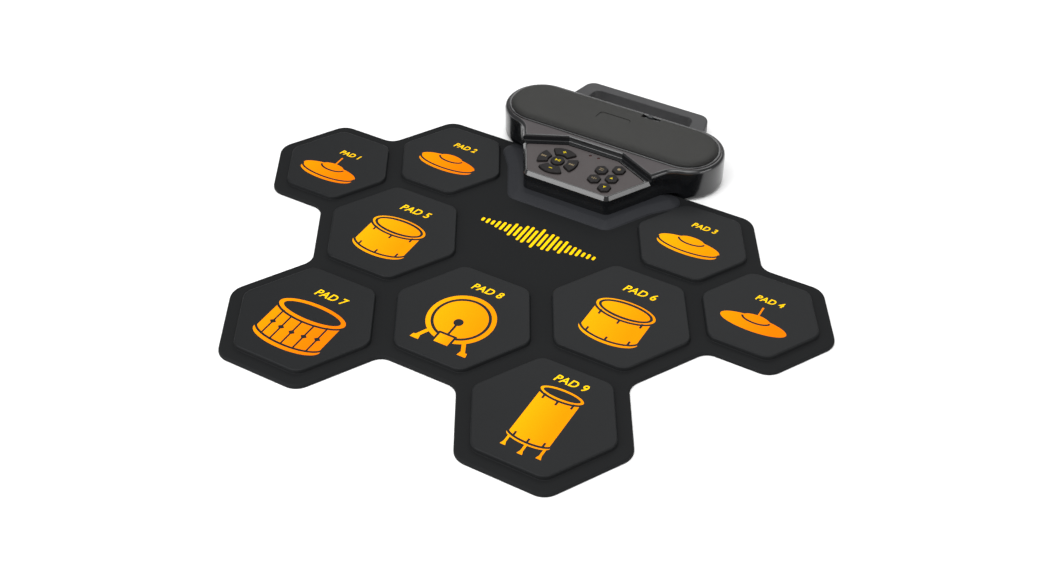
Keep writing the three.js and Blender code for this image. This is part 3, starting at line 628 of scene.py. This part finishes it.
def panel_outline():
    front = line(-90, 0, CONSOLE_FRONT_Y, -BEZEL)
    side = line(-30, *CONSOLE_SIDE, -BEZEL)
    slant = line(90 - RIDGE_SLANT, *RIDGE_CORNER, -REAR_BEZEL)
    rear = line(90, *RIDGE_CORNER, -REAR_BEZEL)
    front_corner = corner(front, side, CONSOLE_FRONT_RADIUS - BEZEL)
    return mirrored([front_corner, *rounded([side, slant, rear], 2.5)])


MAT = mat_outline()
PLINTH = plinth_outline()
CONSOLE = console_outline()
BAR = mirrored([(BAR_END_X, BAR_Y, BAR_RADIUS, -90, 180)])
PANEL = panel_outline()


# ---- mat ----
def pad_profile():
    wall = [(0, MAT_TOP + 1.3), (0.25, PAD_TOP - 1.3)]
    return foot_fillet(MAT_TOP, PAD_FOOT) + wall + round_over(PAD_TOP, PAD_EDGE - 0.25, 0.25)


def plinth_profile():
    edge = [(0.25, MAT_TOP + 0.75), (0.7, MAT_TOP + 1)]
    slope = [(PLINTH_SLOPE - 1.5, PAD_TOP - 0.2), (PLINTH_SLOPE, PAD_TOP)]
    return foot_fillet(MAT_TOP, 0.6) + edge + slope


def raise_area(mesh, outline, profile):
    """Raises an area of the mat, and returns the ring it rises from."""
    foot, crown = stack(mesh, outline, profile)
    cover(mesh, crown)
    return foot


def mat_skin():
    """The silicone moulding: one closed skin with its pads, the console's plinth and a recess."""
    mesh = bmesh.new()
    under = [(MAT_RIM, RECESS_TOP), (MAT_RIM, 0), (0.3, 0), (0, 0.3)]
    recess, top = stack(mesh, MAT, under + round_over(MAT_TOP, MAT_EDGE, depth=2))
    cover(mesh, recess)
    feet = [
        raise_area(mesh, hexagon(x, y, apothem + PAD_EDGE, PAD_CORNER), pad_profile())
        for x, y, apothem in PADS.values()
    ]
    # the plinth's faces take the second material, a lighter colour that is painted light
    before = len(mesh.faces)
    feet.append(raise_area(mesh, PLINTH, plinth_profile()))
    mesh.faces.ensure_lookup_table()
    for face in mesh.faces[before:]:
        face.material_index = SATIN_AND_PAINTED_LIGHT_SLOT
    cover(mesh, top, *feet)
    return to_object(mesh, "mat_skin")


mat = mat_skin()
dress(mat, "mat_skin", "silicone", stands_for=["mat_top"])
# the plinth's painted light material
mat.data.materials.append(SURFACES["plinth"])

# ---- console casing ----
BEZEL_PROFILE = [
    (0, BEZEL_BOTTOM - 0.3), (0.1, BEZEL_BOTTOM), (0.3, BEZEL_BOTTOM + 0.35),
    (BEZEL_SLOPE - 0.35, BEZEL_TOP - 0.3), (BEZEL_SLOPE - 0.15, BEZEL_TOP - 0.08),
    (BEZEL_SLOPE, BEZEL_TOP),
]
RIDGE_PROFILE = [
    (-0.7, BEZEL_BOTTOM - 1), (-0.7, BEZEL_TOP), (-0.25, BEZEL_TOP + 0.12),
    (-0.05, BEZEL_TOP + 0.4), (0, BEZEL_TOP + 0.8), *round_over(DECK, 1.3, depth=2.2),
]
LIP_PROFILE = [
    (LIP_INSET, DECK - 1), (LIP_INSET, DECK + 0.15), (LIP_INSET + 0.1, LIP_TOP - 0.3),
    (LIP_INSET + 0.4, LIP_TOP - 0.06), (LIP_INSET + 0.8, LIP_TOP),
    (LIP_INSIDE - 0.4, LIP_TOP - 0.1),
]
DOME_PROFILE = [
    (GRILLE_INSET, BAFFLE_TOP + GAP), (GRILLE_INSET, LIP_TOP - 0.2),
    (GRILLE_INSET + 0.2, LIP_TOP + 0.5), (GRILLE_INSET + 0.8, LIP_TOP + 1.3),
    (GRILLE_INSET + 2, GRILLE_TOP - 1), (GRILLE_INSET + 3.6, GRILLE_TOP - 0.5),
    (GRILLE_INSET + 6, GRILLE_TOP - 0.2), (GRILLE_INSET + 10, GRILLE_TOP),
]
TRAY_PROFILE = [
    (3, CASE_BOTTOM), (1.8, CASE_BOTTOM + 0.25), (0.9, CASE_BOTTOM + 0.9),
    (0.4, CASE_BOTTOM + 1.9), (0.3, PARTING),
]


def centred_block(x, y, half, z0, z1):
    """A block centred on x, y with the given half width and half depth."""
    return block(x - half[0], y - half[1], z0, x + half[0], y + half[1], z1)


def console_shell():
    """The upper shell: bezel, ridge, deck and lip, hollow below and open for what it holds."""
    shell = solid(CONSOLE, [(0, PARTING + GAP), *BEZEL_PROFILE])
    deck = solid(CONSOLE, [(0, BEZEL_BOTTOM - 1), *round_over(DECK, 2.7, depth=DECK - SHOULDER)])
    combine(deck, "INTERSECT", solid(ridge_outline(), RIDGE_PROFILE))
    combine(shell, "UNION", deck, solid(BAR, LIP_PROFILE))
    under_deck = solid(CONSOLE, [(WALL, CEILING - 1), (WALL, BAFFLE_BOTTOM - 1)])
    behind_ridge = solid(ridge_outline(), [(WALL, CEILING - 1), (WALL, BAFFLE_BOTTOM - 1)])
    combine(under_deck, "INTERSECT", behind_ridge)
    through_baffle = BAFFLE_BOTTOM - 1, BAFFLE_TOP + 1
    outlets = [
        solid(circle(x, BAR_Y, SPEAKER_OUTLET), [(0, z) for z in through_baffle])
        for x in (-SPEAKER_X, SPEAKER_X)
    ]
    switch_slot = centred_block(SWITCH_X, SWITCH_Y, SWITCH_SLOT_HALF, *through_baffle)
    inside_y, outside_y = REAR_Y - 4, REAR_Y + 3
    sockets = [bar_along_y(x, JACK_Z, JACK_RADIUS, inside_y, outside_y) for x in JACK_X]
    half_x, half_z = USB_HALF
    usb = block(
        USB_X - half_x, inside_y, USB_Z - half_z, USB_X + half_x, outside_y, USB_Z + half_z
    )
    combine(
        shell,
        "DIFFERENCE",
        solid(CONSOLE, [(WALL, -1), (WALL, CEILING)]),
        under_deck,
        solid(BAR, [(WALL, -1), (WALL, BAFFLE_BOTTOM)]),
        block(-120, 100, -1, 120, MAT_BACK_Y + GAP, SHELF_BOTTOM),
        solid(PANEL, [(0, SEAT), (0, BEZEL_TOP + 0.01)]),
        solid(PANEL, [(2, CEILING - 1), (2, BEZEL_TOP)]),
        solid(BAR, [(LIP_INSIDE, BAFFLE_TOP), (LIP_INSIDE, LIP_TOP + 1)]),
        *outlets,
        *sockets,
        usb,
        switch_slot,
    )
    return shell


def satin_deck(shell):
    """Gives the flat top of the deck its satin finish."""
    shell.data.materials.append(SURFACES["deck"])
    for face in shell.data.polygons:
        height = face.center.z / MM
        if face.normal.z > 0.98 and abs(height - DECK) < 0.05:
            face.material_index = SATIN_AND_PAINTED_LIGHT_SLOT


def ribbon(points, width):
    """The outline of a line of even width through the points."""
    sides = [], []
    for i, (x, y) in enumerate(points):
        before = Vector(points[max(i - 1, 0)])
        after = Vector(points[min(i + 1, len(points) - 1)])
        across = (after - before).orthogonal().normalized() * width / 2
        sides[0].append((x + across.x, y + across.y))
        sides[1].append((x - across.x, y - across.y))
    return sides[0] + sides[1][::-1]


def bend(x, y, radius, start, end, steps=8):
    angles = [math.radians(start + (end - start) * i / steps) for i in range(steps + 1)]
    return [(x + radius * math.cos(a), y + radius * math.sin(a)) for a in angles]


def speaker_mesh():
    """The domed grille, with the switch's notch at its rear and a groove pressed into its top."""
    dome = solid(BAR, DOME_PROFILE)
    notch = block(
        SWITCH_X - NOTCH_HALF, NOTCH_FRONT_Y, BAFFLE_TOP - 1,
        SWITCH_X + NOTCH_HALF, REAR_Y + 5, GRILLE_TOP + 1,
    )
    route = [
        (-15, 228), *bend(-12, GROOVE_Y, GROOVE_BEND, 180, 90),
        *bend(9.5, GROOVE_Y, GROOVE_BEND, 90, 0), (12.3, 232.5),
    ]
    groove = plate(ribbon(route, GROOVE_WIDTH), GRILLE_TOP - GROOVE_DEPTH, GRILLE_TOP + 1)
    return combine(dome, "DIFFERENCE", notch, groove)


def base_tray():
    """The lower shell: a tray under the speaker bar and a shelf on the mat's plinth."""
    tray = solid(BAR, TRAY_PROFILE)
    combine(tray, "DIFFERENCE", solid(BAR, [(WALL + 0.2, CASE_FLOOR), (WALL + 0.2, PARTING + 1)]))
    front = MAT_BACK_Y + GAP
    combine(tray, "INTERSECT", block(-120, front, 0, 120, REAR_Y + 5, PARTING))
    shelf = solid(CONSOLE, [(WALL + GAP, SHELF_BOTTOM), (WALL + GAP, SHELF_BOTTOM + 2)])
    combine(shelf, "INTERSECT", block(-100, 0, 0, 100, front + 2.2, 100))
    riser = block(-60, front, CASE_FLOOR - 1, 60, front + 2.2, SHELF_BOTTOM + 2)
    screws = [plan(f"case_screw_{i}") for i in range(1, 5)]
    feet = [plan(f"foot_{i}") for i in range(1, 5)]

    def posts(places, radius, z0, z1):
        return [solid(circle(x, y, radius), [(0, z0), (0, z1)]) for x, y in places]

    combine(tray, "UNION", shelf, riser, *posts(screws, SCREW_SEAT, CASE_FLOOR - 1, PARTING))
    bores = posts(screws, SCREW_HEAD_BORE, 0, 3)
    holes = posts(screws, SCREW_HOLE, 0, 7)
    return combine(tray, "DIFFERENCE", *bores, *holes, *posts(feet, FOOT_WELL, 0, 1.7))


shell = dress(console_shell(), "console_shell", "gloss", stands_for=["console_top_case"])
satin_deck(shell)
dress(base_tray(), "base_tray", "gloss", stands_for=["console_bottom_case"])
dress(speaker_mesh(), "speaker_mesh", "grille", smooth=50, stands_for=["speaker_grille"])
for i in range(1, 5):
    x, y = plan(f"foot_{i}")
    foot = solid(circle(x, y, FOOT_RADIUS), [(0.7, 0), (0.25, 0.15), (0, 0.5), (0, 1.4)])
    dress(foot, f"rubber_foot_{i}", "rubber", stands_for=[f"foot_{i}"])


# ---- control panel and its keys ----
def ring_key(angle, half_span):
    """A key of the ring: a sector with rounded corners, its sides along two radii."""
    x, y = RING_CENTRE

    def lean(radius):
        return half_span - math.degrees(math.asin(RING_KEY_CORNER / radius))

    def tip(radius, direction, start, turn):
        a = math.radians(direction)
        return x + radius * math.cos(a), y + radius * math.sin(a), RING_KEY_CORNER, start, turn

    outer = RING_OUTER - RING_KEY_CORNER
    inner = RING_INNER + RING_KEY_CORNER
    out, to = lean(outer), lean(inner)
    side = half_span + 90
    return [
        (x, y, RING_OUTER, angle - out, 2 * out),
        tip(outer, angle + out, angle + out, side - out),
        tip(inner, angle + to, angle + side, 180 + to - side),
        (x, y, RING_INNER, angle + to, -2 * to),
        tip(inner, angle - to, angle - to + 180, 180 + to - side),
        tip(outer, angle - out, angle - side, side - out),
    ]


KEYS = {"button_play": circle(*RING_CENTRE, ROUND_KEY_RADIUS)}
for name, angle, half_span in RING_KEYS:
    KEYS[f"button_{name}"] = ring_key(angle, half_span)
for i in range(1, 6):
    centre = plan(f"button_hex_{i}")
    KEYS[f"button_hex_{i}"] = hexagon(*centre, HEX_KEY_APOTHEM, HEX_KEY_CORNER, 0)


def panel_plate():
    """The control panel, with a hole for every key and every light."""
    panel = solid(PANEL, [(GAP, SEAT + GAP), (GAP, PANEL_TOP - 0.25), (GAP + 0.25, PANEL_TOP)])
    through = SEAT - 1, BEZEL_TOP + 1
    holes = [solid(outline, [(-KEY_HOLE_GAP, z) for z in through]) for outline in KEYS.values()]
    lights = [
        solid(circle(*plan(f"status_led_{side}"), 1.2), [(0, z) for z in through])
        for side in ("left", "right")
    ]
    return combine(panel, "DIFFERENCE", *holes, *lights)


dress(panel_plate(), "panel_plate", "panel", stands_for=["control_panel"])
for name, outline in KEYS.items():
    key = solid(outline, [
        (-KEY_FLANGE, KEY_BOTTOM), (-KEY_FLANGE, KEY_FLANGE_TOP), (0, KEY_FLANGE_TOP),
        *round_over(KEY_TOP, KEY_EDGE),
    ])
    dress(key, name.replace("button", "key"), "key", f"{name}_body", stands_for=[name])


# ---- carry handle ----
def sloping(near, far):
    """The line through two points, facing to the right of the way from near to far."""
    facing = math.degrees(math.atan2(far[1] - near[1], far[0] - near[0])) - 90
    return line(facing, *near)


def handle_grip():
    """The loop handle: a flat bar with rounded edges round a slot for the fingers."""
    near = (HANDLE_WALL_X, REAR_Y + GAP)
    side = sloping(near, HANDLE_FAR)
    outer = mirrored([
        corner(line(-90, *near), side, 2), corner(side, line(90, *HANDLE_FAR), 9),
    ])
    slot_side = sloping(SLOT_NEAR, SLOT_FAR)
    slot = mirrored([
        corner(line(-90, *SLOT_NEAR), slot_side, 3), corner(slot_side, line(90, *SLOT_FAR), 6),
    ])

    def both_edges(radius, inwards):
        top = [(inwards * inset, z) for inset, z in round_over(HANDLE_TOP, radius)]
        return [(inset, HANDLE_BOTTOM + HANDLE_TOP - z) for inset, z in top[::-1]] + top

    mesh = bmesh.new()
    below, above = stack(mesh, outer, both_edges(1.5, 1))
    slot_below, slot_above = stack(mesh, slot, both_edges(1, -1))
    cover(mesh, below, slot_below)
    cover(mesh, above, slot_above)
    return to_object(mesh, "handle_grip")


dress(handle_grip(), "handle_grip", "handle", stands_for=["carry_handle"])


# ---- power switch ----
def switch_cap():
    """The knob: a grooved cap on a stem that goes through the baffle."""
    low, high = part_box("power_switch_knob")
    x0, y0 = (low.x - ORIGIN.x) / MM, (low.y - ORIGIN.y) / MM
    x1, y1 = (high.x - ORIGIN.x) / MM, (high.y - ORIGIN.y) / MM
    top = high.z / MM
    cap = solid(rectangle(x0, y0, x1, y1, 0.8), [(0, BAFFLE_TOP + 0.4), *round_over(top, 0.5)])
    centre = (x0 + x1) / 2
    grooves = [
        block(centre + step - 0.25, y0 - 1, top - 0.5, centre + step + 0.25, y1 + 1, top + 1)
        for step in (-1.1, 0, 1.1)
    ]
    combine(cap, "DIFFERENCE", *grooves)
    middle_y = (y0 + y1) / 2
    stem = centred_block(centre, middle_y, SWITCH_STEM_HALF, low.z / MM, BAFFLE_TOP + 1)
    return combine(cap, "UNION", stem)


dress(
    switch_cap(), "switch_cap", "knob", "power_switch_knob_body",
    stands_for=["power_switch_knob"],
)

# ---- printed pictures ----
INK_DEPTH = 0.06
CAP_SHARE = 0.73  # height of a capital in the built-in font, as a share of its size
LINE = 1.8  # width of the bare lines inside a picture


def ellipse(x, y, a, b, start=0, turn=360, steps=48):
    count = steps if abs(turn) == 360 else steps + 1
    angles = [math.radians(start + turn * i / steps) for i in range(count)]
    return [(x + a * math.cos(t), y + b * math.sin(t)) for t in angles]


def hoop_line(x, y, a, b, width):
    """A closed elliptical line, as an outline and its hole."""
    half = width / 2
    return ellipse(x, y, a + half, b + half), ellipse(x, y, a - half, b - half)


def capsule(x, y, width, height):
    """An upright bar with round ends."""
    reach = (height - width) / 2
    upper = ellipse(x, y + reach, width / 2, width / 2, 0, 180, 10)
    lower = ellipse(x, y - reach, width / 2, width / 2, 180, 180, 10)
    return upper + lower


def picture(name, ink, drawn, bare=(), top=PAD_TOP, body=ROOT):
    """Ink on the surface at height top: the drawn outlines without the bare ones."""
    base, *others = [plate(points, top - INK_DEPTH, top + INK_DEPTH) for points in drawn]
    if others:
        combine(base, "UNION", *others)
    if bare:
        combine(base, "DIFFERENCE", *[plate(points, top - 1, top + 1) for points in bare])
    return dress(base, name, ink, body)


def drum(x, y, width, height, squat, hoop=3.0, open_top=False, lugs=(), ticks=()):
    """A drum seen from above its rim: x, y is the middle of the rim and height the shell's."""
    a = width / 2
    b = a * squat
    shell = a - 1.2
    foot = y - height
    drawn = [
        ellipse(x, y, a, b),
        [(x - shell, y), *ellipse(x, foot, shell, b, 180, 180), (x + shell, y)],
        [*ellipse(x, foot, a, b, 180, 180), *ellipse(x, foot + hoop, a, b, 360, -180)],
    ]
    inner = (a - hoop, b - hoop * 0.72)
    bare = [
        ribbon(ellipse(x, y, a + LINE / 2, b + LINE / 2, 175, 190), LINE),
        ribbon(ellipse(x, foot + hoop, a + 0.2, b, 180, 180), LINE),
    ]
    if open_top:
        bare.append(ellipse(x, y, *inner))
    else:
        bare.append(hoop_line(x, y, *inner, LINE * 1.2))
    for share in lugs:
        at = x + share * shell
        dip = b * math.sqrt(1 - share**2)
        bare.append(ribbon([(at, y - dip), (at, foot + hoop - dip)], LINE * 0.8))
        mid = (y + foot + hoop) / 2 - dip
        bare.append([(at - 2.7, mid), (at, mid - 2.4), (at + 2.7, mid), (at, mid + 2.4)])
    for share in ticks:
        at = x + share * shell
        dip = b * math.sqrt(1 - share**2)
        bare.append(ribbon([(at, y - dip), (at, y - dip - 5)], LINE * 0.9))
        bare.append(ribbon([(at, foot + hoop - dip), (at, foot + hoop - dip + 4)], LINE * 0.9))
    return drawn, bare


def cymbal(name, ink, x, y, stacked=False, rod=False):
    """A cymbal seen from above its edge, with its bell, and with its twin below it."""
    a, b = 24.5, 7.6
    drawn = [ellipse(x, y, a, b), ellipse(x, y + 5.6, 9.8, 4.2)]
    bare = [ribbon(ellipse(x, y + 5.6, 10.2, 4.4, 182, 176), LINE * 0.9)]
    if stacked:
        drawn.append(ellipse(x, y - 3.6, a - 0.6, b))
        bare.append(ribbon(ellipse(x, y - 0.4, a - 0.2, b, 176, 188), LINE * 0.9))
    if rod:
        drawn.append(ribbon([(x, y + 6), (x, y + 19)], 1.3))
    picture(name, ink, drawn, bare)


def at_pad(name, dx, dy):
    """A place beside a pad's centre."""
    x, y, _ = PADS[name]
    return x + dx, y + dy


def kick_drum(x, y):
    """A bass drum from the front, with its beater, pedal and two spurs."""
    half, low, high = 5.5, y - 27.5, y - 18.5
    pedal = [(x - half, low), (x + half, low), (x + half, high), (x - half, high)]
    frame_line = [(x - 6.2, y - 21), (x - 6.2, y - 17.8), (x + 6.2, y - 17.8), (x + 6.2, y - 21)]
    drawn = [ellipse(x, y, 25, 25)]
    for side in (-1, 1):
        drawn.append(ribbon([(x + side * 14, y - 19), (x + side * 19, y - 29)], 3))
        drawn.append([
            (x + side * 19 - 3.4, y - 31.4), (x + side * 19 + 3.4, y - 31.4),
            (x + side * 19 + 2.6, y - 27.6), (x + side * 19 - 2.6, y - 27.6),
        ])
    bare = [
        hoop_line(x, y, 20.4, 20.4, 2.2),
        ellipse(x, y - 3.6, 3.6, 3.6),
        ribbon([(x, y - 6), (x, y - 18.6)], LINE),
    ]
    around = rectangle(x - half - LINE, low - LINE, x + half + LINE, high + LINE, 0.5)
    bare.append(trace(around))
    picture("picture_kick", "ink_amber", drawn, bare)
    picture("picture_kick_pedal", "ink_amber", [pedal], [ribbon(frame_line, LINE)])


for name, ink in (("crash_left", "ink_orange"), ("crash_right", "ink_amber")):
    cymbal(f"picture_{name}", ink, *at_pad(name, 0, -5.5), stacked=True)
cymbal("picture_hihat", "ink_orange", *at_pad("hihat", -1, -12), stacked=True, rod=True)
cymbal("picture_ride", "ink_orange", *at_pad("ride", 0, -12.5), rod=True)
for name in ("tom_high", "tom_low"):
    tom = drum(*at_pad(name, 2, 5), 45.5, 27, 0.42, ticks=(-0.72, 0.02, 0.76))
    picture(f"picture_{name}", "ink_amber", *tom)
SNARE_LUGS = (-0.72, -0.4, -0.04, 0.33, 0.7)
snare = drum(*at_pad("snare", 2, 5), 56, 30, 0.34, hoop=3.8, open_top=True, lugs=SNARE_LUGS)
picture("picture_snare", "ink_orange", *snare)
kick_drum(*at_pad("kick", 1.2, -4))


def floor_tom(x, y):
    """A tall drum on three legs."""
    ticks = (-0.7, 0.02, 0.74)
    drawn, bare = drum(x, y, 32, 45, 0.32, hoop=2.2, open_top=True, ticks=ticks)
    for dx, drop in ((-12.5, 8), (1, 10), (13.5, 8)):
        foot = y - 45 - drop - 2
        drawn.append(ribbon([(x + dx, foot), (x + dx, foot + drop)], 1.8))
        drawn.append([
            (x + dx - 2, foot - 1.4), (x + dx + 2, foot - 1.4), (x + dx + 1, foot + 1.4),
            (x + dx - 1, foot + 1.4),
        ])
    picture("picture_tom_floor", "ink_amber", drawn, bare)


floor_tom(*at_pad("tom_floor", 2.5, 21))


# ---- labels and ornament ----
def label(name, text, x, y, cap_height):
    """Plain generic lettering on a pad, centred on x with its foot at y."""
    curve = bpy.data.curves.new(name, "FONT")
    curve.body = text
    curve.size = cap_height / CAP_SHARE
    curve.align_x = "CENTER"
    curve.offset = 0.16
    curve.extrude = INK_DEPTH
    curve.space_character = 1.05
    curve.shear = 0.25
    letters = bpy.data.objects.new(name, curve)
    bpy.context.scene.collection.objects.link(letters)
    bpy.context.view_layer.update()
    graph = bpy.context.evaluated_depsgraph_get()
    mesh = bmesh.new()
    mesh.from_mesh(letters.evaluated_get(graph).to_mesh())
    mesh.transform(Matrix.Translation((x, y, PAD_TOP)))
    bpy.data.objects.remove(letters)
    return dress(to_object(mesh, name), name, "ink_yellow")


LABELS = (
    ("hihat", 2, 11.5, 4.9), ("crash_left", 2, 15.5, 5.2), ("crash_right", 2, 16, 5.2),
    ("ride", 1, 12.5, 5.4), ("tom_high", 2, 24.2, 6.6), ("tom_low", 2, 24.2, 6.6),
    ("snare", 3, 22.5, 6.6), ("kick", 1.5, 27.8, 6.4), ("tom_floor", 2, 31, 6.4),
)
for number, (name, dx, dy, cap_height) in enumerate(LABELS, 1):
    label(f"label_{name}", f"PAD {number}", *at_pad(name, dx, dy), cap_height)


def sound_wave(x, y):
    """A row of round-ended bars whose heights swell and fade, printed on the open field."""
    bars = []
    for i in range(-11, 12):
        swell = math.exp(-((i / 7) ** 2))
        ripple = 0.45 + 0.55 * abs(math.cos(1.25 * i))
        bars.append(capsule(x + 4.3 * i, y, 2.3, 3 + 21 * swell * ripple))
    picture("sound_wave", "ink_yellow", bars, top=MAT_TOP)


sound_wave(2, 103)

# ---- key legends ----
def triangle(x, y, size, angle):
    """An equal-sided triangle with one corner at the given angle."""
    turns = [math.radians(angle + 120 * i) for i in range(3)]
    return [(x + size * math.cos(t), y + size * math.sin(t)) for t in turns]


def bar(x, y, width, height):
    """A rectangle's corners, centred on x, y."""
    return [
        (x - width / 2, y - height / 2), (x + width / 2, y - height / 2),
        (x + width / 2, y + height / 2), (x - width / 2, y + height / 2),
    ]


def legend(key, ink, *shapes):
    """A symbol printed on a key, in millimetres from the key's middle."""
    x, y = plan(f"button_{key}")
    placed = [[(x + px, y + py) for px, py in points] for points in shapes]
    picture(f"legend_{key}", ink, placed, top=KEY_TOP, body=f"button_{key}_body")


PAUSE = bar(0.9, 0, 0.6, 2.6), bar(2, 0, 0.6, 2.6)
legend("play", "ink_key_yellow", triangle(-1.1, 0, 1.5, 0), *PAUSE)
legend("up", "ink_key_yellow", bar(0, 0, 3, 0.7), bar(0, 0, 0.7, 3))
legend("down", "ink_key_yellow", bar(0, 0, 3, 0.7))
for name, side, facing in (("left", -1, 180), ("right", 1, 0)):
    arrows = triangle(-0.9, 0, 1.3, facing), triangle(0.9, 0, 1.3, facing)
    legend(name, "ink_key_pale", *arrows, bar(2.3 * side, 0, 0.5, 2.4))
legend("hex_1", "ink_key_pale", bar(-1.6, 0, 0.7, 1.4), bar(0, 0, 0.7, 2.4), bar(1.6, 0, 0.7, 1.4))
legend("hex_2", "ink_key_pale", bar(0, 0.9, 3.4, 0.6), bar(0, -0.9, 3.4, 0.6))
legend("hex_3", "ink_key_yellow", triangle(0, 0.3, 1.5, 270))
legend("hex_4", "ink_key_yellow", triangle(0, -0.3, 1.5, 90))
legend("hex_5", "ink_key_pale", ellipse(0, 0, 1.4, 1.4, steps=20))

# ---- camera, floor and light ----
AZIMUTH, ELEVATION, ROLL = math.radians(30.142), math.radians(41.281), math.radians(-0.508)
TARGET = Vector((0.0196, -0.0403, PAD_TOP * MM))
DISTANCE = 1.0206
SENSOR = 36
LENS = 48.88


def add_camera():
    back = Vector((
        math.sin(AZIMUTH) * math.cos(ELEVATION), -math.cos(AZIMUTH) * math.cos(ELEVATION),
        math.sin(ELEVATION),
    ))
    level = Vector((math.cos(AZIMUTH), math.sin(AZIMUTH), 0))
    right = level * math.cos(ROLL) + back.cross(level) * math.sin(ROLL)
    up = back.cross(right)
    data = bpy.data.cameras.new("camera")
    data.lens = LENS
    data.sensor_width = SENSOR
    camera = bpy.data.objects.new("camera", data)
    turn = Matrix((right, up, back)).transposed()
    camera.matrix_world = Matrix.Translation(TARGET + back * DISTANCE) @ turn.to_4x4()
    bpy.context.scene.collection.objects.link(camera)
    bpy.context.scene.camera = camera


def add_floor():
    data = bpy.data.meshes.new("floor")
    half = 4
    square = [(-half, -half, 0), (half, -half, 0), (half, half, 0), (-half, half, 0)]
    data.from_pydata(square, [], [(0, 1, 2, 3)])
    data.materials.append(moulded("floor", (0.86, 0.86, 0.86, 1), 0.6, 4, 0.01, 300, 0.01))
    floor = bpy.data.objects.new("floor", data)
    bpy.context.scene.collection.objects.link(floor)


def add_softbox(name, position, aim, size, power):
    data = bpy.data.lights.new(name, "AREA")
    data.shape = "RECTANGLE"
    data.size, data.size_y = size
    data.energy = power
    light = bpy.data.objects.new(name, data)
    light.location = position
    light.rotation_euler = (Vector(position) - Vector(aim)).to_track_quat("Z", "Y").to_euler()
    bpy.context.scene.collection.objects.link(light)


def add_room(strength):
    world = bpy.data.worlds.new("room")
    world.use_nodes = True
    sky = world.node_tree.nodes["Background"]
    sky.inputs["Color"].default_value = (1, 1, 1, 1)
    sky.inputs["Strength"].default_value = strength
    bpy.context.scene.world = world


add_camera()
add_floor()
add_room(0.38)
CONSOLE_MIDDLE = (0, 0.09, 0.02)
add_softbox("key_light", (-0.3, 1.3, 1.5), (0, 0, 0), (1.6, 1.2), 14)
add_softbox("top_light", (0.1, -0.6, 1.9), (0, 0, 0), (1.8, 1.4), 30)
add_softbox("fill_left", (-0.75, -1.25, 1.25), (0, 0, 0), (1.2, 0.9), 11)
add_softbox("fill_right", (1.2, -1.2, 1.4), (0, 0, 0), (1.2, 1.2), 6)
add_softbox("front_strip", (-0.49, -1.07, 0.36), CONSOLE_MIDDLE, (0.9, 0.4), 6.5)
add_softbox("right_strip", (1.3, -0.07, 0.36), CONSOLE_MIDDLE, (0.8, 0.4), 4)
bpy.context.scene.view_settings.view_transform = "Standard"
